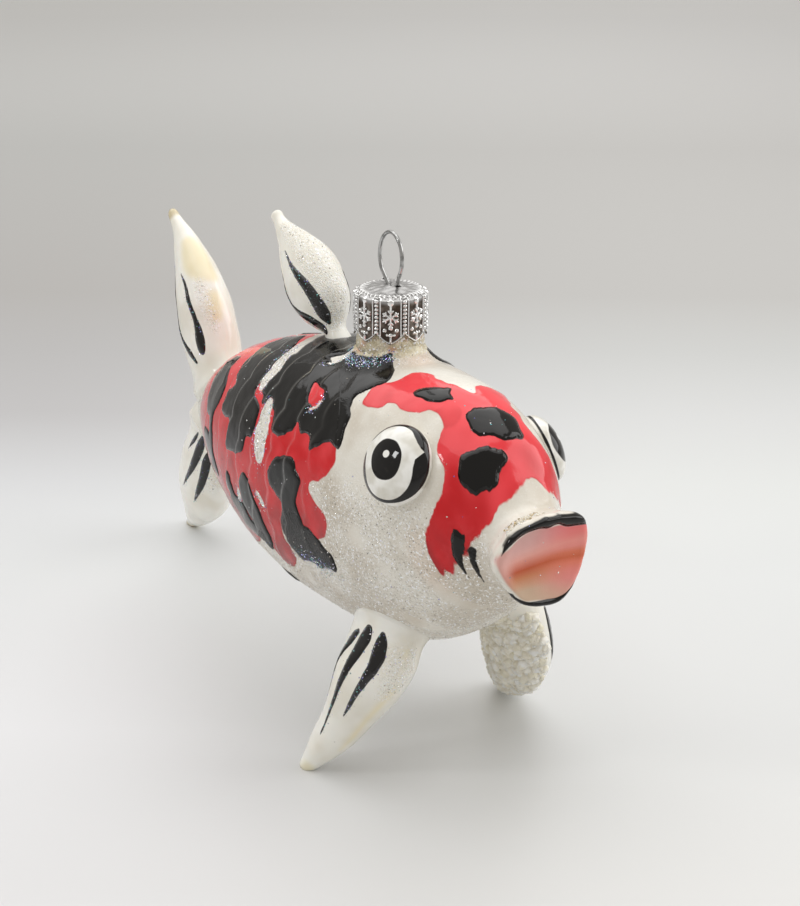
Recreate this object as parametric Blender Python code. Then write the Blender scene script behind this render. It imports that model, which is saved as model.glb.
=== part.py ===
"""Blown-glass koi ornament: a painted glass fish that stands on three fin tips and hangs from a crown cap.

The fish looks along -Y, its left side is +X and up is +Z. Lengths below are in millimetres and are
turned to metres when a mesh is made. They are drawn with Y = 0 between the two front fins' tips, and
each object is then placed so that the origin is on the floor under the middle of the whole ornament.
"""
import math

import bmesh
import bpy
from mathutils import Matrix, Vector

MM = 0.001
GAP = 0.3              # clearance between two pieces that meet
FLOOR_Z = 0.0          # the resting fin tips are cut flat here

# The glass body: (distance along the fish, half width, top, bottom), from the snout to the tail.
BODY_STATIONS = (
    (-30.0, 6.2, 53.8, 40.9),
    (-27.0, 7.9, 57.2, 37.8),
    (-22.0, 11.5, 62.4, 32.0),
    (-12.0, 15.2, 65.8, 24.2),
    (-2.0, 17.0, 66.1, 20.8),
    (10.0, 18.1, 65.4, 19.0),
    (25.0, 18.4, 63.6, 18.0),
    (40.0, 16.8, 60.0, 19.8),
    (55.0, 13.3, 54.5, 22.9),
    (68.0, 8.8, 47.5, 25.8),
    (76.0, 5.9, 42.2, 27.8),
    (83.0, 4.2, 39.0, 29.4),
)
BODY_SQUARENESS = 2.15  # 2 is a plain ellipse, more is fuller at the shoulders
SNOUT_Y, TAIL_Y = -30.0, 83.0
TAIL_ROUND = 6.0        # length of the rounded tail end
BODY_AROUND, BODY_ALONG = 40, 34

HEAD_BACK_Y = 17.0      # the head ends behind the hanging cap
TRUNK_BACK_Y = 66.0
MOUTH_BACK_Y = -28.4    # the lips start at the waist of the snout

# The trumpet of the lips: (distance in front of the waist, radius), ending in a shallow bowl.
LIP_AXIS_Z = 47.2
LIP_PROFILE = ((0.0, 6.8), (1.5, 6.4), (3.0, 6.6), (4.6, 7.1), (5.8, 7.3), (6.5, 6.9), (6.7, 5.8), (6.4, 3.0))
LIP_BOWL_AHEAD = 6.3    # the middle of the bowl, in front of the waist
LIP_FRONT_Y = MOUTH_BACK_Y - max(ahead for ahead, _ in LIP_PROFILE)
LIP_AROUND = 32

# Each eye: where its rim lies and the way it looks. Blown by hand, the left one sits a little lower.
EYES = {
    "eye_left": (Vector((13.2, -14.6, 55.4)), Vector((0.88, -0.22, 0.40))),
    "eye_right": (Vector((-12.6, -14.0, 57.2)), Vector((-0.87, -0.20, 0.45))),
}
EYE_RADIUS, EYE_BULGE = 6.1, 3.3
EYE_AROUND, EYE_ALONG = 24, 12

NECK_CENTRE_Y = 9.7
NECK_RADIUS, NECK_TOP_RADIUS = 5.65, 4.7
NECK_FOOT_Z, NECK_STEP_Z, NECK_TOP_Z = 60.0, 67.7, 74.0
NECK_BORE, NECK_BORE_FLOOR_Z = 3.1, 67.2
NECK_AROUND = 28

CAP_RADIUS, CAP_TOP_RADIUS, CAP_WALL = 5.85, 4.95, 0.6
CAP_TOP_Z, CAP_SHOULDER_Z, CAP_TIP_Z, CAP_NOTCH_Z = 76.3, 75.3, 68.6, 70.4
CAP_PANELS, CAP_STEPS = 8, 6
CAP_TURN = math.radians(-30)    # from the snout to the middle of a panel
CAP_SCALLOP_POWER = 1.6         # more is blunter at the tips
CAP_SLOT, CAP_SLOT_OFFSET = (1.5, 1.6, 3.0), 2.0

WIRE_RADIUS = 0.32
LOOP_HALF_WIDTH, LOOP_MIDDLE_Z, LOOP_TOP_Z = 3.45, 81.4, 85.7
LOOP_LEG_OFFSET, LOOP_FOOT_Z = 1.9, 67.8
LOOP_OPEN_ANGLE = math.radians(-62)     # where the oval meets the legs
LOOP_STEPS = 22

TAIL_TIP_Y = 100.2
TAIL_SPLIT_Z = 35.0     # the two tail fins meet here
MIDDLE_Y = (LIP_FRONT_Y + TAIL_TIP_Y) / 2


def smooth_value(stations, column, at):
    """Cubic through the stations' values, level with the chord of each point's neighbours."""
    rows = sorted(stations)
    at = min(max(at, rows[0][0]), rows[-1][0])
    k = max(i for i in range(len(rows) - 1) if rows[i][0] <= at)

    def slope(i):
        low, high = rows[max(i - 1, 0)], rows[min(i + 1, len(rows) - 1)]
        return (high[column] - low[column]) / (high[0] - low[0])

    span = rows[k + 1][0] - rows[k][0]
    t = (at - rows[k][0]) / span
    start, end = rows[k][column], rows[k + 1][column]
    return ((2 * t ** 3 - 3 * t ** 2 + 1) * start + (t ** 3 - 2 * t ** 2 + t) * span * slope(k)
            + (3 * t ** 2 - 2 * t ** 3) * end + (t ** 3 - t ** 2) * span * slope(k + 1))


def squared(value, power):
    return math.copysign(abs(value) ** power, value)


def material(name, colour, roughness, metallic=0.0, coat=0.0):
    made = bpy.data.materials.new(name)
    made.use_nodes = True
    shader = made.node_tree.nodes["Principled BSDF"]
    shader.inputs["Base Color"].default_value = (*colour, 1.0)
    shader.inputs["Roughness"].default_value = roughness
    shader.inputs["Metallic"].default_value = metallic
    shader.inputs["Coat Weight"].default_value = coat
    return made


def place(made):
    """Adds an object to the scene with the ornament's middle over the origin."""
    bpy.context.scene.collection.objects.link(made)
    made.location = (0.0, -MIDDLE_Y * MM, 0.0)


def finish(name, mesh_builder, finish_material, helper=False):
    """Turns a bmesh in millimetres into a named object in metres."""
    bmesh.ops.scale(mesh_builder, vec=(MM, MM, MM), verts=mesh_builder.verts)
    bmesh.ops.recalc_face_normals(mesh_builder, faces=mesh_builder.faces)
    mesh = bpy.data.meshes.new(name)
    mesh_builder.to_mesh(mesh)
    mesh_builder.free()
    mesh.shade_smooth()
    mesh.set_sharp_from_angle(angle=math.radians(35))
    made = bpy.data.objects.new(name, mesh)
    place(made)
    mesh.materials.append(finish_material)
    if helper:
        made.hide_render = True
        made.display_type = "WIRE"
    return made


def cut(target, cutter):
    boolean = target.modifiers.new("cut_" + cutter.name, "BOOLEAN")
    boolean.operation = "DIFFERENCE"
    boolean.solver = "EXACT"
    boolean.object = cutter


def keep_between(mesh_builder, axis, low, high):
    """Cuts a closed mesh flat at one or two heights along an axis, and closes it again."""
    for level, side in ((low, -1.0), (high, 1.0)):
        if level is None:
            continue
        normal = Vector((0.0, 0.0, 0.0))
        normal[axis] = side
        geometry = list(mesh_builder.verts) + list(mesh_builder.edges) + list(mesh_builder.faces)
        bmesh.ops.bisect_plane(mesh_builder, geom=geometry, dist=1e-4, plane_co=normal * side * level,
                               plane_no=normal, clear_outer=True)
        rim = [edge for edge in mesh_builder.edges if edge.is_boundary]
        if rim:
            bmesh.ops.holes_fill(mesh_builder, edges=rim, sides=0)


def body_shape(swell=0.0):
    """The whole fish body as one closed mesh, grown by swell on every side."""
    body = bmesh.new()
    bmesh.ops.create_uvsphere(body, u_segments=BODY_AROUND, v_segments=BODY_ALONG, radius=1.0)
    front, back = SNOUT_Y - swell, TAIL_Y + swell
    for vert in body.verts:
        # The sphere's pole axis becomes the fish's length.
        along = math.acos(max(-1.0, min(1.0, -vert.co.z))) / math.pi
        angle = math.atan2(vert.co.y, vert.co.x)
        y = front + (back - front) * along
        close = 1.0
        if y > back - TAIL_ROUND:
            close = math.sqrt(max(0.0, 1.0 - ((y - back + TAIL_ROUND) / TAIL_ROUND) ** 2))
        if along == 0.0:
            close = 0.0
        half_width = smooth_value(BODY_STATIONS, 1, y) + swell
        top = smooth_value(BODY_STATIONS, 2, y) + swell
        bottom = smooth_value(BODY_STATIONS, 3, y) - swell
        power = 2.0 / BODY_SQUARENESS
        vert.co = Vector((
            close * half_width * squared(math.cos(angle), power),
            y,
            (top + bottom) / 2 + close * (top - bottom) / 2 * squared(math.sin(angle), power),
        ))
    return body


def bezier(points, t):
    """A point on the curve through a start, two handles and an end."""
    a, b, c, d = points
    u = 1.0 - t
    return a * u ** 3 + b * 3 * u ** 2 * t + c * 3 * u * t ** 2 + d * t ** 3


class Leaf:
    """A hollow-blown fin: an oval section carried along a bent spine."""

    AROUND, ALONG = 18, 16

    def __init__(self, spine, section, across):
        self.spine = [Vector(p) for p in spine]
        self.section = section      # (share of the length, half thickness, half width)
        self.across = Vector(across).normalized()

    def mesh(self):
        leaf = bmesh.new()
        bmesh.ops.create_uvsphere(leaf, u_segments=self.AROUND, v_segments=self.ALONG, radius=1.0)
        for vert in leaf.verts:
            t = math.acos(max(-1.0, min(1.0, -vert.co.z))) / math.pi
            angle = math.atan2(vert.co.y, vert.co.x)
            pole = t < 1e-5 or t > 1.0 - 1e-5
            step = 1e-3
            ahead = bezier(self.spine, min(t + step, 1.0)) - bezier(self.spine, max(t - step, 0.0))
            ahead.normalize()
            wide = (self.across - ahead * self.across.dot(ahead)).normalized()
            thick = ahead.cross(wide)
            half_thick = 0.0 if pole else smooth_value(self.section, 1, t)
            half_wide = 0.0 if pole else smooth_value(self.section, 2, t)
            vert.co = (bezier(self.spine, t) + thick * half_thick * math.cos(angle)
                       + wide * half_wide * math.sin(angle))
        return leaf


# Fins: a spine of four points, then (share of the length, half thickness, half width).
DORSAL = Leaf(
    spine=((0, 23, 56), (0, 29.5, 70), (0, 39.5, 72.5), (0, 50.8, 80.2)),
    section=((0.0, 2.2, 2.4), (0.18, 2.4, 2.8), (0.35, 4.3, 5.7), (0.55, 4.7, 6.5), (0.75, 3.2, 4.4),
             (0.9, 1.6, 1.9), (1.0, 0.9, 1.0)),
    across=(0, 1, 0),
)
TAIL_UPPER = Leaf(
    spine=((0, 76, 36), (0, 83, 44), (0, 83, 60), (0, TAIL_TIP_Y, 70.8)),
    section=((0.0, 3.6, 4.0), (0.2, 5.0, 6.2), (0.42, 5.6, 7.6), (0.62, 4.9, 6.6), (0.82, 2.8, 3.7),
             (0.93, 1.2, 1.5), (1.0, 0.9, 1.0)),
    across=(0, 1, 0),
)
TAIL_LOWER = Leaf(
    spine=((0, 76, 34), (0, 86, 27), (0, 84, 13), (0, 99.0, -0.9)),
    section=((0.0, 3.6, 4.0), (0.25, 4.8, 6.2), (0.5, 5.6, 8.0), (0.7, 5.2, 7.4), (0.86, 2.9, 3.9),
             (0.95, 1.4, 1.7), (1.0, 1.1, 1.3)),
    across=(0, 1, 0),
)
PECTORAL_RIGHT = Leaf(
    spine=((-7.0, -6.5, 30), (-13.5, -8.0, 18), (-13.5, -4.5, 9), (-22.6, 1, -0.6)),
    section=((0.0, 4.2, 5.6), (0.25, 5.3, 8.2), (0.4, 5.1, 7.9), (0.6, 3.9, 5.4), (0.8, 2.3, 2.9),
             (1.0, 1.1, 1.3)),
    across=(0, 1, 0),
)
PECTORAL_LEFT = Leaf(
    spine=((10.5, -6.5, 30), (18.0, -7.5, 19), (16.9, -4.5, 9), (21.3, 4.5, -0.6)),
    section=((0.0, 4.2, 5.6), (0.25, 4.6, 7.2), (0.45, 4.8, 7.6), (0.66, 4.3, 6.2), (0.84, 2.9, 3.6),
             (1.0, 1.3, 1.5)),
    across=(0, 1, 0),
)


def dome_shape(name, swell=0.0):
    """One eye: a flattened ball that stands out of the cheek."""
    centre, axis = EYES[name]
    dome = bmesh.new()
    bmesh.ops.create_uvsphere(dome, u_segments=EYE_AROUND, v_segments=EYE_ALONG, radius=1.0)
    radius, bulge = EYE_RADIUS + swell, EYE_BULGE + swell
    bmesh.ops.scale(dome, vec=(radius, radius, bulge), verts=dome.verts)
    turn = axis.to_track_quat("Z", "Y").to_matrix().to_4x4()
    bmesh.ops.transform(dome, matrix=Matrix.Translation(centre) @ turn, verts=dome.verts)
    return dome


def lips_shape():
    """The flared lips, turned about the mouth's own axis."""
    lips = bmesh.new()
    profile = [lips.verts.new((radius, MOUTH_BACK_Y - ahead, 0.0)) for ahead, radius in LIP_PROFILE]
    front = lips.verts.new((0.0, MOUTH_BACK_Y - LIP_BOWL_AHEAD, 0.0))
    back = lips.verts.new((0.0, MOUTH_BACK_Y, 0.0))
    chain = [back, *profile, front]
    edges = [lips.edges.new(pair) for pair in zip(chain, chain[1:])]
    bmesh.ops.spin(lips, geom=[*chain, *edges], axis=(0, 1, 0), cent=(0, 0, 0), angle=2 * math.pi,
                   steps=LIP_AROUND, use_merge=True)
    bmesh.ops.remove_doubles(lips, verts=lips.verts, dist=0.001)
    bmesh.ops.translate(lips, vec=(0.0, 0.0, LIP_AXIS_Z), verts=lips.verts)
    return lips


def turned(profile, segments):
    """A shape turned about the vertical axis of the neck; the profile runs from axis to axis."""
    shape = bmesh.new()
    chain = [shape.verts.new((radius, 0.0, z)) for radius, z in profile]
    edges = [shape.edges.new(pair) for pair in zip(chain, chain[1:])]
    bmesh.ops.spin(shape, geom=[*chain, *edges], axis=(0, 0, 1), cent=(0, 0, 0), angle=2 * math.pi,
                   steps=segments, use_merge=True)
    bmesh.ops.remove_doubles(shape, verts=shape.verts, dist=0.001)
    bmesh.ops.translate(shape, vec=(0.0, NECK_CENTRE_Y, 0.0), verts=shape.verts)
    return shape


def neck_shape():
    """The glass tube under the cap, with the bore that holds the loop's legs."""
    return turned(((0.0, NECK_FOOT_Z), (NECK_RADIUS + 0.7, NECK_FOOT_Z), (NECK_RADIUS + 0.4, NECK_STEP_Z - 1.6),
                   (NECK_RADIUS, NECK_STEP_Z - 0.5), (NECK_RADIUS - 0.3, NECK_STEP_Z),
                   (NECK_TOP_RADIUS, NECK_STEP_Z), (NECK_TOP_RADIUS, NECK_TOP_Z), (NECK_BORE, NECK_TOP_Z),
                   (NECK_BORE, NECK_BORE_FLOOR_Z), (0.0, NECK_BORE_FLOOR_Z)), NECK_AROUND)


def cap_shape():
    """The crown cap: a thin cup whose skirt ends in pointed scallops, with two slots in its top."""
    around = CAP_PANELS * CAP_STEPS
    inner = CAP_RADIUS - CAP_WALL
    cap = turned(((0.0, CAP_TOP_Z), (CAP_TOP_RADIUS, CAP_TOP_Z), (CAP_RADIUS, CAP_SHOULDER_Z),
                  (CAP_RADIUS, CAP_TIP_Z), (inner, CAP_TIP_Z), (inner, CAP_TOP_Z - CAP_WALL),
                  (0.0, CAP_TOP_Z - CAP_WALL)), around)
    for vert in cap.verts:
        if vert.co.z > CAP_TIP_Z + 0.001:
            continue
        angle = math.atan2(vert.co.x, -(vert.co.y - NECK_CENTRE_Y))
        share = ((angle - CAP_TURN) / (2 * math.pi) * CAP_PANELS + 0.5) % 1.0
        vert.co.z += (CAP_NOTCH_Z - CAP_TIP_Z) * abs(2 * share - 1) ** CAP_SCALLOP_POWER
    return cap


def box_shape(centre, size):
    box = bmesh.new()
    bmesh.ops.create_cube(box, size=1.0)
    bmesh.ops.scale(box, vec=size, verts=box.verts)
    bmesh.ops.translate(box, vec=centre, verts=box.verts)
    return box


def loop_points():
    """The wire's centre line: up one leg, round the oval and down the other."""
    points = [Vector((0.0, NECK_CENTRE_Y - LOOP_LEG_OFFSET, LOOP_FOOT_Z))]
    rise = LOOP_TOP_Z - WIRE_RADIUS - LOOP_MIDDLE_Z
    for k in range(LOOP_STEPS + 1):
        angle = LOOP_OPEN_ANGLE + (math.pi - 2 * LOOP_OPEN_ANGLE) * k / LOOP_STEPS
        points.append(Vector((0.0, NECK_CENTRE_Y - LOOP_HALF_WIDTH * math.cos(angle),
                              LOOP_MIDDLE_Z + rise * math.sin(angle))))
    points.append(Vector((0.0, NECK_CENTRE_Y + LOOP_LEG_OFFSET, LOOP_FOOT_Z)))
    return points


def make_loop(wire):
    curve = bpy.data.curves.new("hanging_loop", "CURVE")
    curve.dimensions = "3D"
    curve.bevel_depth = WIRE_RADIUS * MM
    curve.bevel_resolution = 2
    curve.use_fill_caps = True
    spline = curve.splines.new("POLY")
    points = loop_points()
    spline.points.add(len(points) - 1)
    for point, where in zip(spline.points, points):
        point.co = (*(where * MM), 1.0)
    made = bpy.data.objects.new("hanging_loop", curve)
    place(made)
    curve.materials.append(wire)


def main():
    for old in list(bpy.data.objects):
        bpy.data.objects.remove(old, do_unlink=True)

    pearl = material("pearl_lacquered_glass", (0.80, 0.78, 0.73), 0.18, coat=1.0)
    scarlet = material("red_lacquered_glass", (0.62, 0.04, 0.04), 0.20, coat=1.0)
    pink = material("pink_lacquered_glass", (0.78, 0.28, 0.24), 0.20, coat=1.0)
    clear = material("gold_tinted_glass", (0.70, 0.64, 0.52), 0.15, coat=1.0)
    silver = material("stamped_tinplate", (0.80, 0.80, 0.80), 0.22, metallic=1.0)
    wire = material("drawn_steel_wire", (0.66, 0.66, 0.66), 0.25, metallic=1.0)

    swollen_body = finish("body_clearance", body_shape(GAP), pearl, helper=True)
    eye_sockets = []
    for name in EYES:
        finish(name, dome_shape(name), pearl)
        eye_sockets.append(finish(name + "_clearance", dome_shape(name, GAP), pearl, helper=True))

    half = GAP / 2
    for name, low, high, paint in (
        ("head", MOUTH_BACK_Y + GAP, HEAD_BACK_Y - half, pearl),
        ("trunk", HEAD_BACK_Y + half, TRUNK_BACK_Y - half, scarlet),
        ("tail_stalk", TRUNK_BACK_Y + half, None, scarlet),
    ):
        section = body_shape()
        keep_between(section, 1, low, high)
        made = finish(name, section, paint)
        if name == "head":
            for socket in eye_sockets:
                cut(made, socket)

    finish("mouth", lips_shape(), pink)

    for name, leaf, low, high in (
        ("dorsal_fin", DORSAL, None, None),
        ("tail_fin_upper", TAIL_UPPER, TAIL_SPLIT_Z + half, None),
        ("tail_fin_lower", TAIL_LOWER, FLOOR_Z, TAIL_SPLIT_Z - half),
        ("pectoral_fin_left", PECTORAL_LEFT, FLOOR_Z, None),
        ("pectoral_fin_right", PECTORAL_RIGHT, FLOOR_Z, None),
    ):
        shape = leaf.mesh()
        keep_between(shape, 2, low, high)
        cut(finish(name, shape, pearl), swollen_body)

    neck = finish("glass_neck", neck_shape(), clear)
    cut(neck, swollen_body)
    cap = finish("crown_cap", cap_shape(), silver)
    for side in (-1.0, 1.0):
        slot = finish(f"cap_slot_{'front' if side < 0 else 'back'}", box_shape(
            (0.0, NECK_CENTRE_Y + side * CAP_SLOT_OFFSET, CAP_TOP_Z), CAP_SLOT), silver, helper=True)
        cut(cap, slot)
    make_loop(wire)


main()
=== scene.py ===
"""Looks of a blown-glass koi ornament: lacquered glass, enamel strokes, glitter, a stamped cap and its wire.

Shapes are drawn in millimetres on the ornament's own axes: the fish looks along -Y, its left side is +X, and
Y = 0 lies midway between the tips of the two front fins. `to_frame` turns them into the frame's metres.
Marks on the body are placed by (y, v): the distance along the fish, and the distance round the body from the
ridge of its back, which is positive on the right side and negative on the left.
"""
import logging
import math
from collections.abc import Callable, Sequence
from dataclasses import dataclass, field
from enum import Enum
from functools import partial

import bmesh
import bpy
import numpy as np
from mathutils import Matrix, Vector


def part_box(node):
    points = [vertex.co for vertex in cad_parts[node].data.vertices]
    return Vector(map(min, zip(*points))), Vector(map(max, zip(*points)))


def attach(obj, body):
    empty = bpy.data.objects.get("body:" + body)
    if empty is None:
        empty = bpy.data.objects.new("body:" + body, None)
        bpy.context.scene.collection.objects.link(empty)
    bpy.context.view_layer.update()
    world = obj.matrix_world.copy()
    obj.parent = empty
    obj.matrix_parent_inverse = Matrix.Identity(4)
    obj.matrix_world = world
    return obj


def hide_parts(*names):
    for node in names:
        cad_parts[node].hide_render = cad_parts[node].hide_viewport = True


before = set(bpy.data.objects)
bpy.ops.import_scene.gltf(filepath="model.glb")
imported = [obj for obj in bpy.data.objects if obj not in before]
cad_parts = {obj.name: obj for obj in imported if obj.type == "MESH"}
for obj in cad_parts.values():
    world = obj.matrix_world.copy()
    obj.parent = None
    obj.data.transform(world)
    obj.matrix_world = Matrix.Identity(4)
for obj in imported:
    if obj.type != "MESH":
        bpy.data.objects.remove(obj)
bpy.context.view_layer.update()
LOG = logging.getLogger("koi_ornament")

MM = 0.001
ROOT_BODY = "root"
LIP_FRONT = -35.1  # where the lips' front edge is drawn
SHIFT_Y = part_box("mouth")[0].y / MM - LIP_FRONT

# The glass body: (along the fish, half width, top, bottom).
BODY_STATIONS = (
    (-27.0, 7.9, 57.2, 37.8),
    (-22.0, 11.5, 62.4, 32.0),
    (-12.0, 15.2, 65.8, 24.2),
    (-2.0, 17.0, 66.1, 20.8),
    (10.0, 18.1, 65.4, 19.0),
    (25.0, 18.4, 63.6, 18.0),
    (40.0, 16.8, 60.0, 19.8),
    (55.0, 13.3, 54.5, 22.9),
    (68.0, 8.8, 47.5, 25.8),
    (76.0, 5.9, 42.2, 27.8),
    (83.0, 4.2, 39.0, 29.4),
)
# The bowl of the mouth and the flared lips, from the middle of the bowl back to the waist of the snout.
LIP_STATIONS = (
    (-34.3, 0.0, 47.2, 47.2),
    (-34.45, 3.0, 50.2, 44.2),
    (-34.8, 5.6, 52.8, 41.6),
    (-35.0, 6.5, 53.7, 40.7),
    (-34.9, 7.1, 54.3, 40.1),
    (-34.2, 7.35, 54.55, 39.85),
    (-33.0, 7.15, 54.3, 40.1),
    (-31.4, 6.6, 53.9, 40.5),
    (-29.9, 6.5, 54.1, 40.4),
    (-28.4, 7.05, 55.6, 39.3),
)
# The flared lips from the front, round LIP_CENTRE (x, z): (degrees from +X, reach), a pressed, uneven oval.
LIP_CENTRE = (-0.3, 47.3)
LIP_OUTLINE = (
    (-180, 8.35), (-166, 7.4), (-150, 6.95), (-126, 6.9), (-109, 6.85), (-94, 7.05), (-80, 7.4), (-69, 7.6),
    (-57, 7.45), (-46, 7.2), (-34, 6.95), (-12, 6.8), (6, 7.15), (20, 7.8), (31, 8.25), (41, 8.4), (50, 8.2),
    (61, 7.65), (74, 7.15), (92, 7.1), (109, 7.25), (125, 7.9), (137, 8.15), (150, 8.2), (162, 8.6),
    (172, 8.6), (180, 8.35),
)
LIP_REACH = 7.35  # the lips' half width in LIP_STATIONS where LIP_OUTLINE is taken
LIP_RIM = 6  # the station from which LIP_OUTLINE gives way to the snout
BODY_POWER = 2.15  # how square the body's section is; 2 would be an ellipse
TAIL_ROUND = 6.0  # the length over which the tail's end closes
NECK_Y = 9.7  # the neck's axis
# Where the wire's front and back legs go through the cap's top, from the neck's axis.
LEG_HOLES = ((0.9, -0.6), (0.3, 1.5))
DEPTH_LIMIT = 3.0  # a mark's depth is kept to this much inside and outside its edge

Array = np.ndarray
Points = Sequence[tuple[float, ...]]
Socket = bpy.types.NodeSocket
Tree = bpy.types.NodeTree
Value = Socket | float | Sequence[float] | str | None
Add = Callable[..., Socket]  # the adder of nodes, for one material


def to_frame(points: Array) -> Array:
    """Turns drawn millimetres into the frame's metres."""
    return (points + np.array((0.0, SHIFT_Y, 0.0))) * MM


def ease(value: Array, low: float, high: float) -> Array:
    """Rises from 0 at low to 1 at high, with level ends; low may be the larger."""
    share = np.clip((value - low) / (high - low), 0.0, 1.0)
    return share * share * (3.0 - 2.0 * share)


def smooth_value(keys: Array, values: Array, at: Array) -> Array:
    """Reads a smooth curve through values at rising keys.

    Args:
        keys: the rising positions of the known values.
        values: one known value for each key.
        at: where the curve is read.

    Returns:
        The curve's values, held at its ends.
    """
    at = np.clip(at, keys[0], keys[-1])
    low = np.clip(np.searchsorted(keys, at, side="right") - 1, 0, len(keys) - 2)
    before = np.maximum(np.arange(len(keys)) - 1, 0)
    after = np.minimum(np.arange(len(keys)) + 1, len(keys) - 1)
    slope = (values[after] - values[before]) / (keys[after] - keys[before])
    span = keys[low + 1] - keys[low]
    t = (at - keys[low]) / span
    return ((2 * t ** 3 - 3 * t ** 2 + 1) * values[low] + (t ** 3 - 2 * t ** 2 + t) * span * slope[low]
            + (3 * t ** 2 - 2 * t ** 3) * values[low + 1] + (t ** 3 - t ** 2) * span * slope[low + 1])


def squared(value: Array, power: Array | float) -> Array:
    """Raises the size of a value to a power and keeps its sign."""
    return np.sign(value) * np.abs(value) ** power


def ripple(a: Array, b: Array, wavelength: float, seed: int) -> Array:
    """Gives a wavy, repeatable wobble between about -1 and 1 over two coordinates.

    Args:
        a: the first coordinate in millimetres.
        b: the second coordinate in millimetres.
        wavelength: the usual distance between two crests.
        seed: picks one of many wobbles.

    Returns:
        The wobble at each place.
    """
    random = np.random.default_rng(seed)
    total = np.zeros(np.broadcast(a, b).shape)
    waves, usual_crest = 6, 1.6
    for _ in range(waves):
        turn = random.uniform(0, 2 * math.pi)
        pace = 2 * math.pi / (wavelength * random.uniform(0.7, 1.6))
        along = a * math.cos(turn) + b * math.sin(turn)
        total = total + np.sin(pace * along + random.uniform(0, 2 * math.pi))
    return total / waves * usual_crest


# ---- marks ----

def rounded(points: Points, closed: bool, pieces: int = 6) -> Array:
    """Runs a smooth curve through a mark's points.

    Args:
        points: the points, each with the same number of values.
        closed: whether the curve comes back to its start.
        pieces: short lengths between two points.

    Returns:
        The points of the curve, one row each.
    """
    known = np.array(points, float)
    if closed:
        known = np.vstack([known[-1], known, known[0], known[1]])
    else:
        known = np.vstack([2 * known[0] - known[1], known, 2 * known[-1] - known[-2]])
    t = (np.arange(pieces) / pieces)[:, None]
    rows = []
    for a, b, c, d in zip(known, known[1:], known[2:], known[3:]):
        rows.append(0.5 * (2 * b + (c - a) * t + (2 * a - 5 * b + 4 * c - d) * t ** 2
                           + (3 * b - a - 3 * c + d) * t ** 3))
    if not closed:
        rows.append(known[-2][None])
    return np.vstack(rows)


def stroke_depth(path: Array, at: Array) -> Array:
    """Measures how deep each place lies inside a brush stroke.

    Args:
        path: rows of the stroke's middle line, with its half width as the last value.
        at: the places, in the same space as the path.

    Returns:
        The depth, positive inside the stroke.
    """
    depth = np.full(len(at), -np.inf)
    for start, end in zip(path, path[1:]):
        along = end[:-1] - start[:-1]
        share = np.clip((at - start[:-1]) @ along / max(along @ along, 1e-9), 0.0, 1.0)
        gap = np.linalg.norm(at - start[:-1] - share[:, None] * along, axis=1)
        depth = np.maximum(depth, start[-1] + (end[-1] - start[-1]) * share - gap)
    return depth


def outline_depth(outline: Array, at: Array) -> Array:
    """Measures how deep each place lies inside a closed outline.

    Args:
        outline: rows of the outline's points.
        at: the places, in the same plane.

    Returns:
        The depth, positive inside the outline.
    """
    nearest = np.full(len(at), np.inf)
    inside = np.zeros(len(at), bool)
    for start, end in zip(outline, np.roll(outline, -1, axis=0)):
        along = end - start
        share = np.clip((at - start) @ along / max(along @ along, 1e-9), 0.0, 1.0)
        nearest = np.minimum(nearest, np.linalg.norm(at - start - share[:, None] * along, axis=1))
        crosses = (start[1] > at[:, 1]) != (end[1] > at[:, 1])
        rise = along[1] if abs(along[1]) > 1e-12 else 1e-12
        inside ^= crosses & (at[:, 0] < start[0] + along[0] * (at[:, 1] - start[1]) / rise)
    return np.where(inside, nearest, -nearest)


def held(depth: Array) -> Array:
    """Keeps a depth within the limit on either side of the edge."""
    return np.clip(depth, -DEPTH_LIMIT, DEPTH_LIMIT)


@dataclass(frozen=True)
class Mark:
    """A painted mark on the body."""

    points: Points

    def depth(self, at: Array) -> Array:
        """How deep places on the body lie inside the mark; each kind has its own."""
        raise NotImplementedError

    def mirrored(self, ahead: float, stretch: float) -> "Mark":
        """The mark again on the other side of the back, moved along the fish and stretched round it."""
        return type(self)([(y + ahead, -v * stretch, *half) for y, v, *half in self.points])


class Patch(Mark):
    """An area of lacquer with a smooth outline of (y, v) points."""

    def depth(self, at: Array) -> Array:
        """How deep places lie inside the outline."""
        return outline_depth(rounded(self.points, closed=True), at)


class Stroke(Mark):
    """A brush stroke along (y, v, half width) points."""

    def depth(self, at: Array) -> Array:
        """How deep places lie inside the stroke."""
        return stroke_depth(rounded(self.points, closed=False), at)


def deepest(marks: Sequence[Mark], at: Array) -> Array:
    """Joins marks: the depth inside whichever mark is deepest.

    Args:
        marks: the marks to join.
        at: (y, v) places, one row each.

    Returns:
        The joined depth.
    """
    depth = np.full(len(at), -DEPTH_LIMIT)
    for mark in marks:
        reach = np.array([point[:2] for point in mark.points])
        low, high = reach.min(0) - 2 * DEPTH_LIMIT, reach.max(0) + 2 * DEPTH_LIMIT
        near = np.all((at > low) & (at < high), axis=1)
        if near.any():
            depth[near] = np.maximum(depth[near], mark.depth(at[near]))
    return held(depth)


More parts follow.
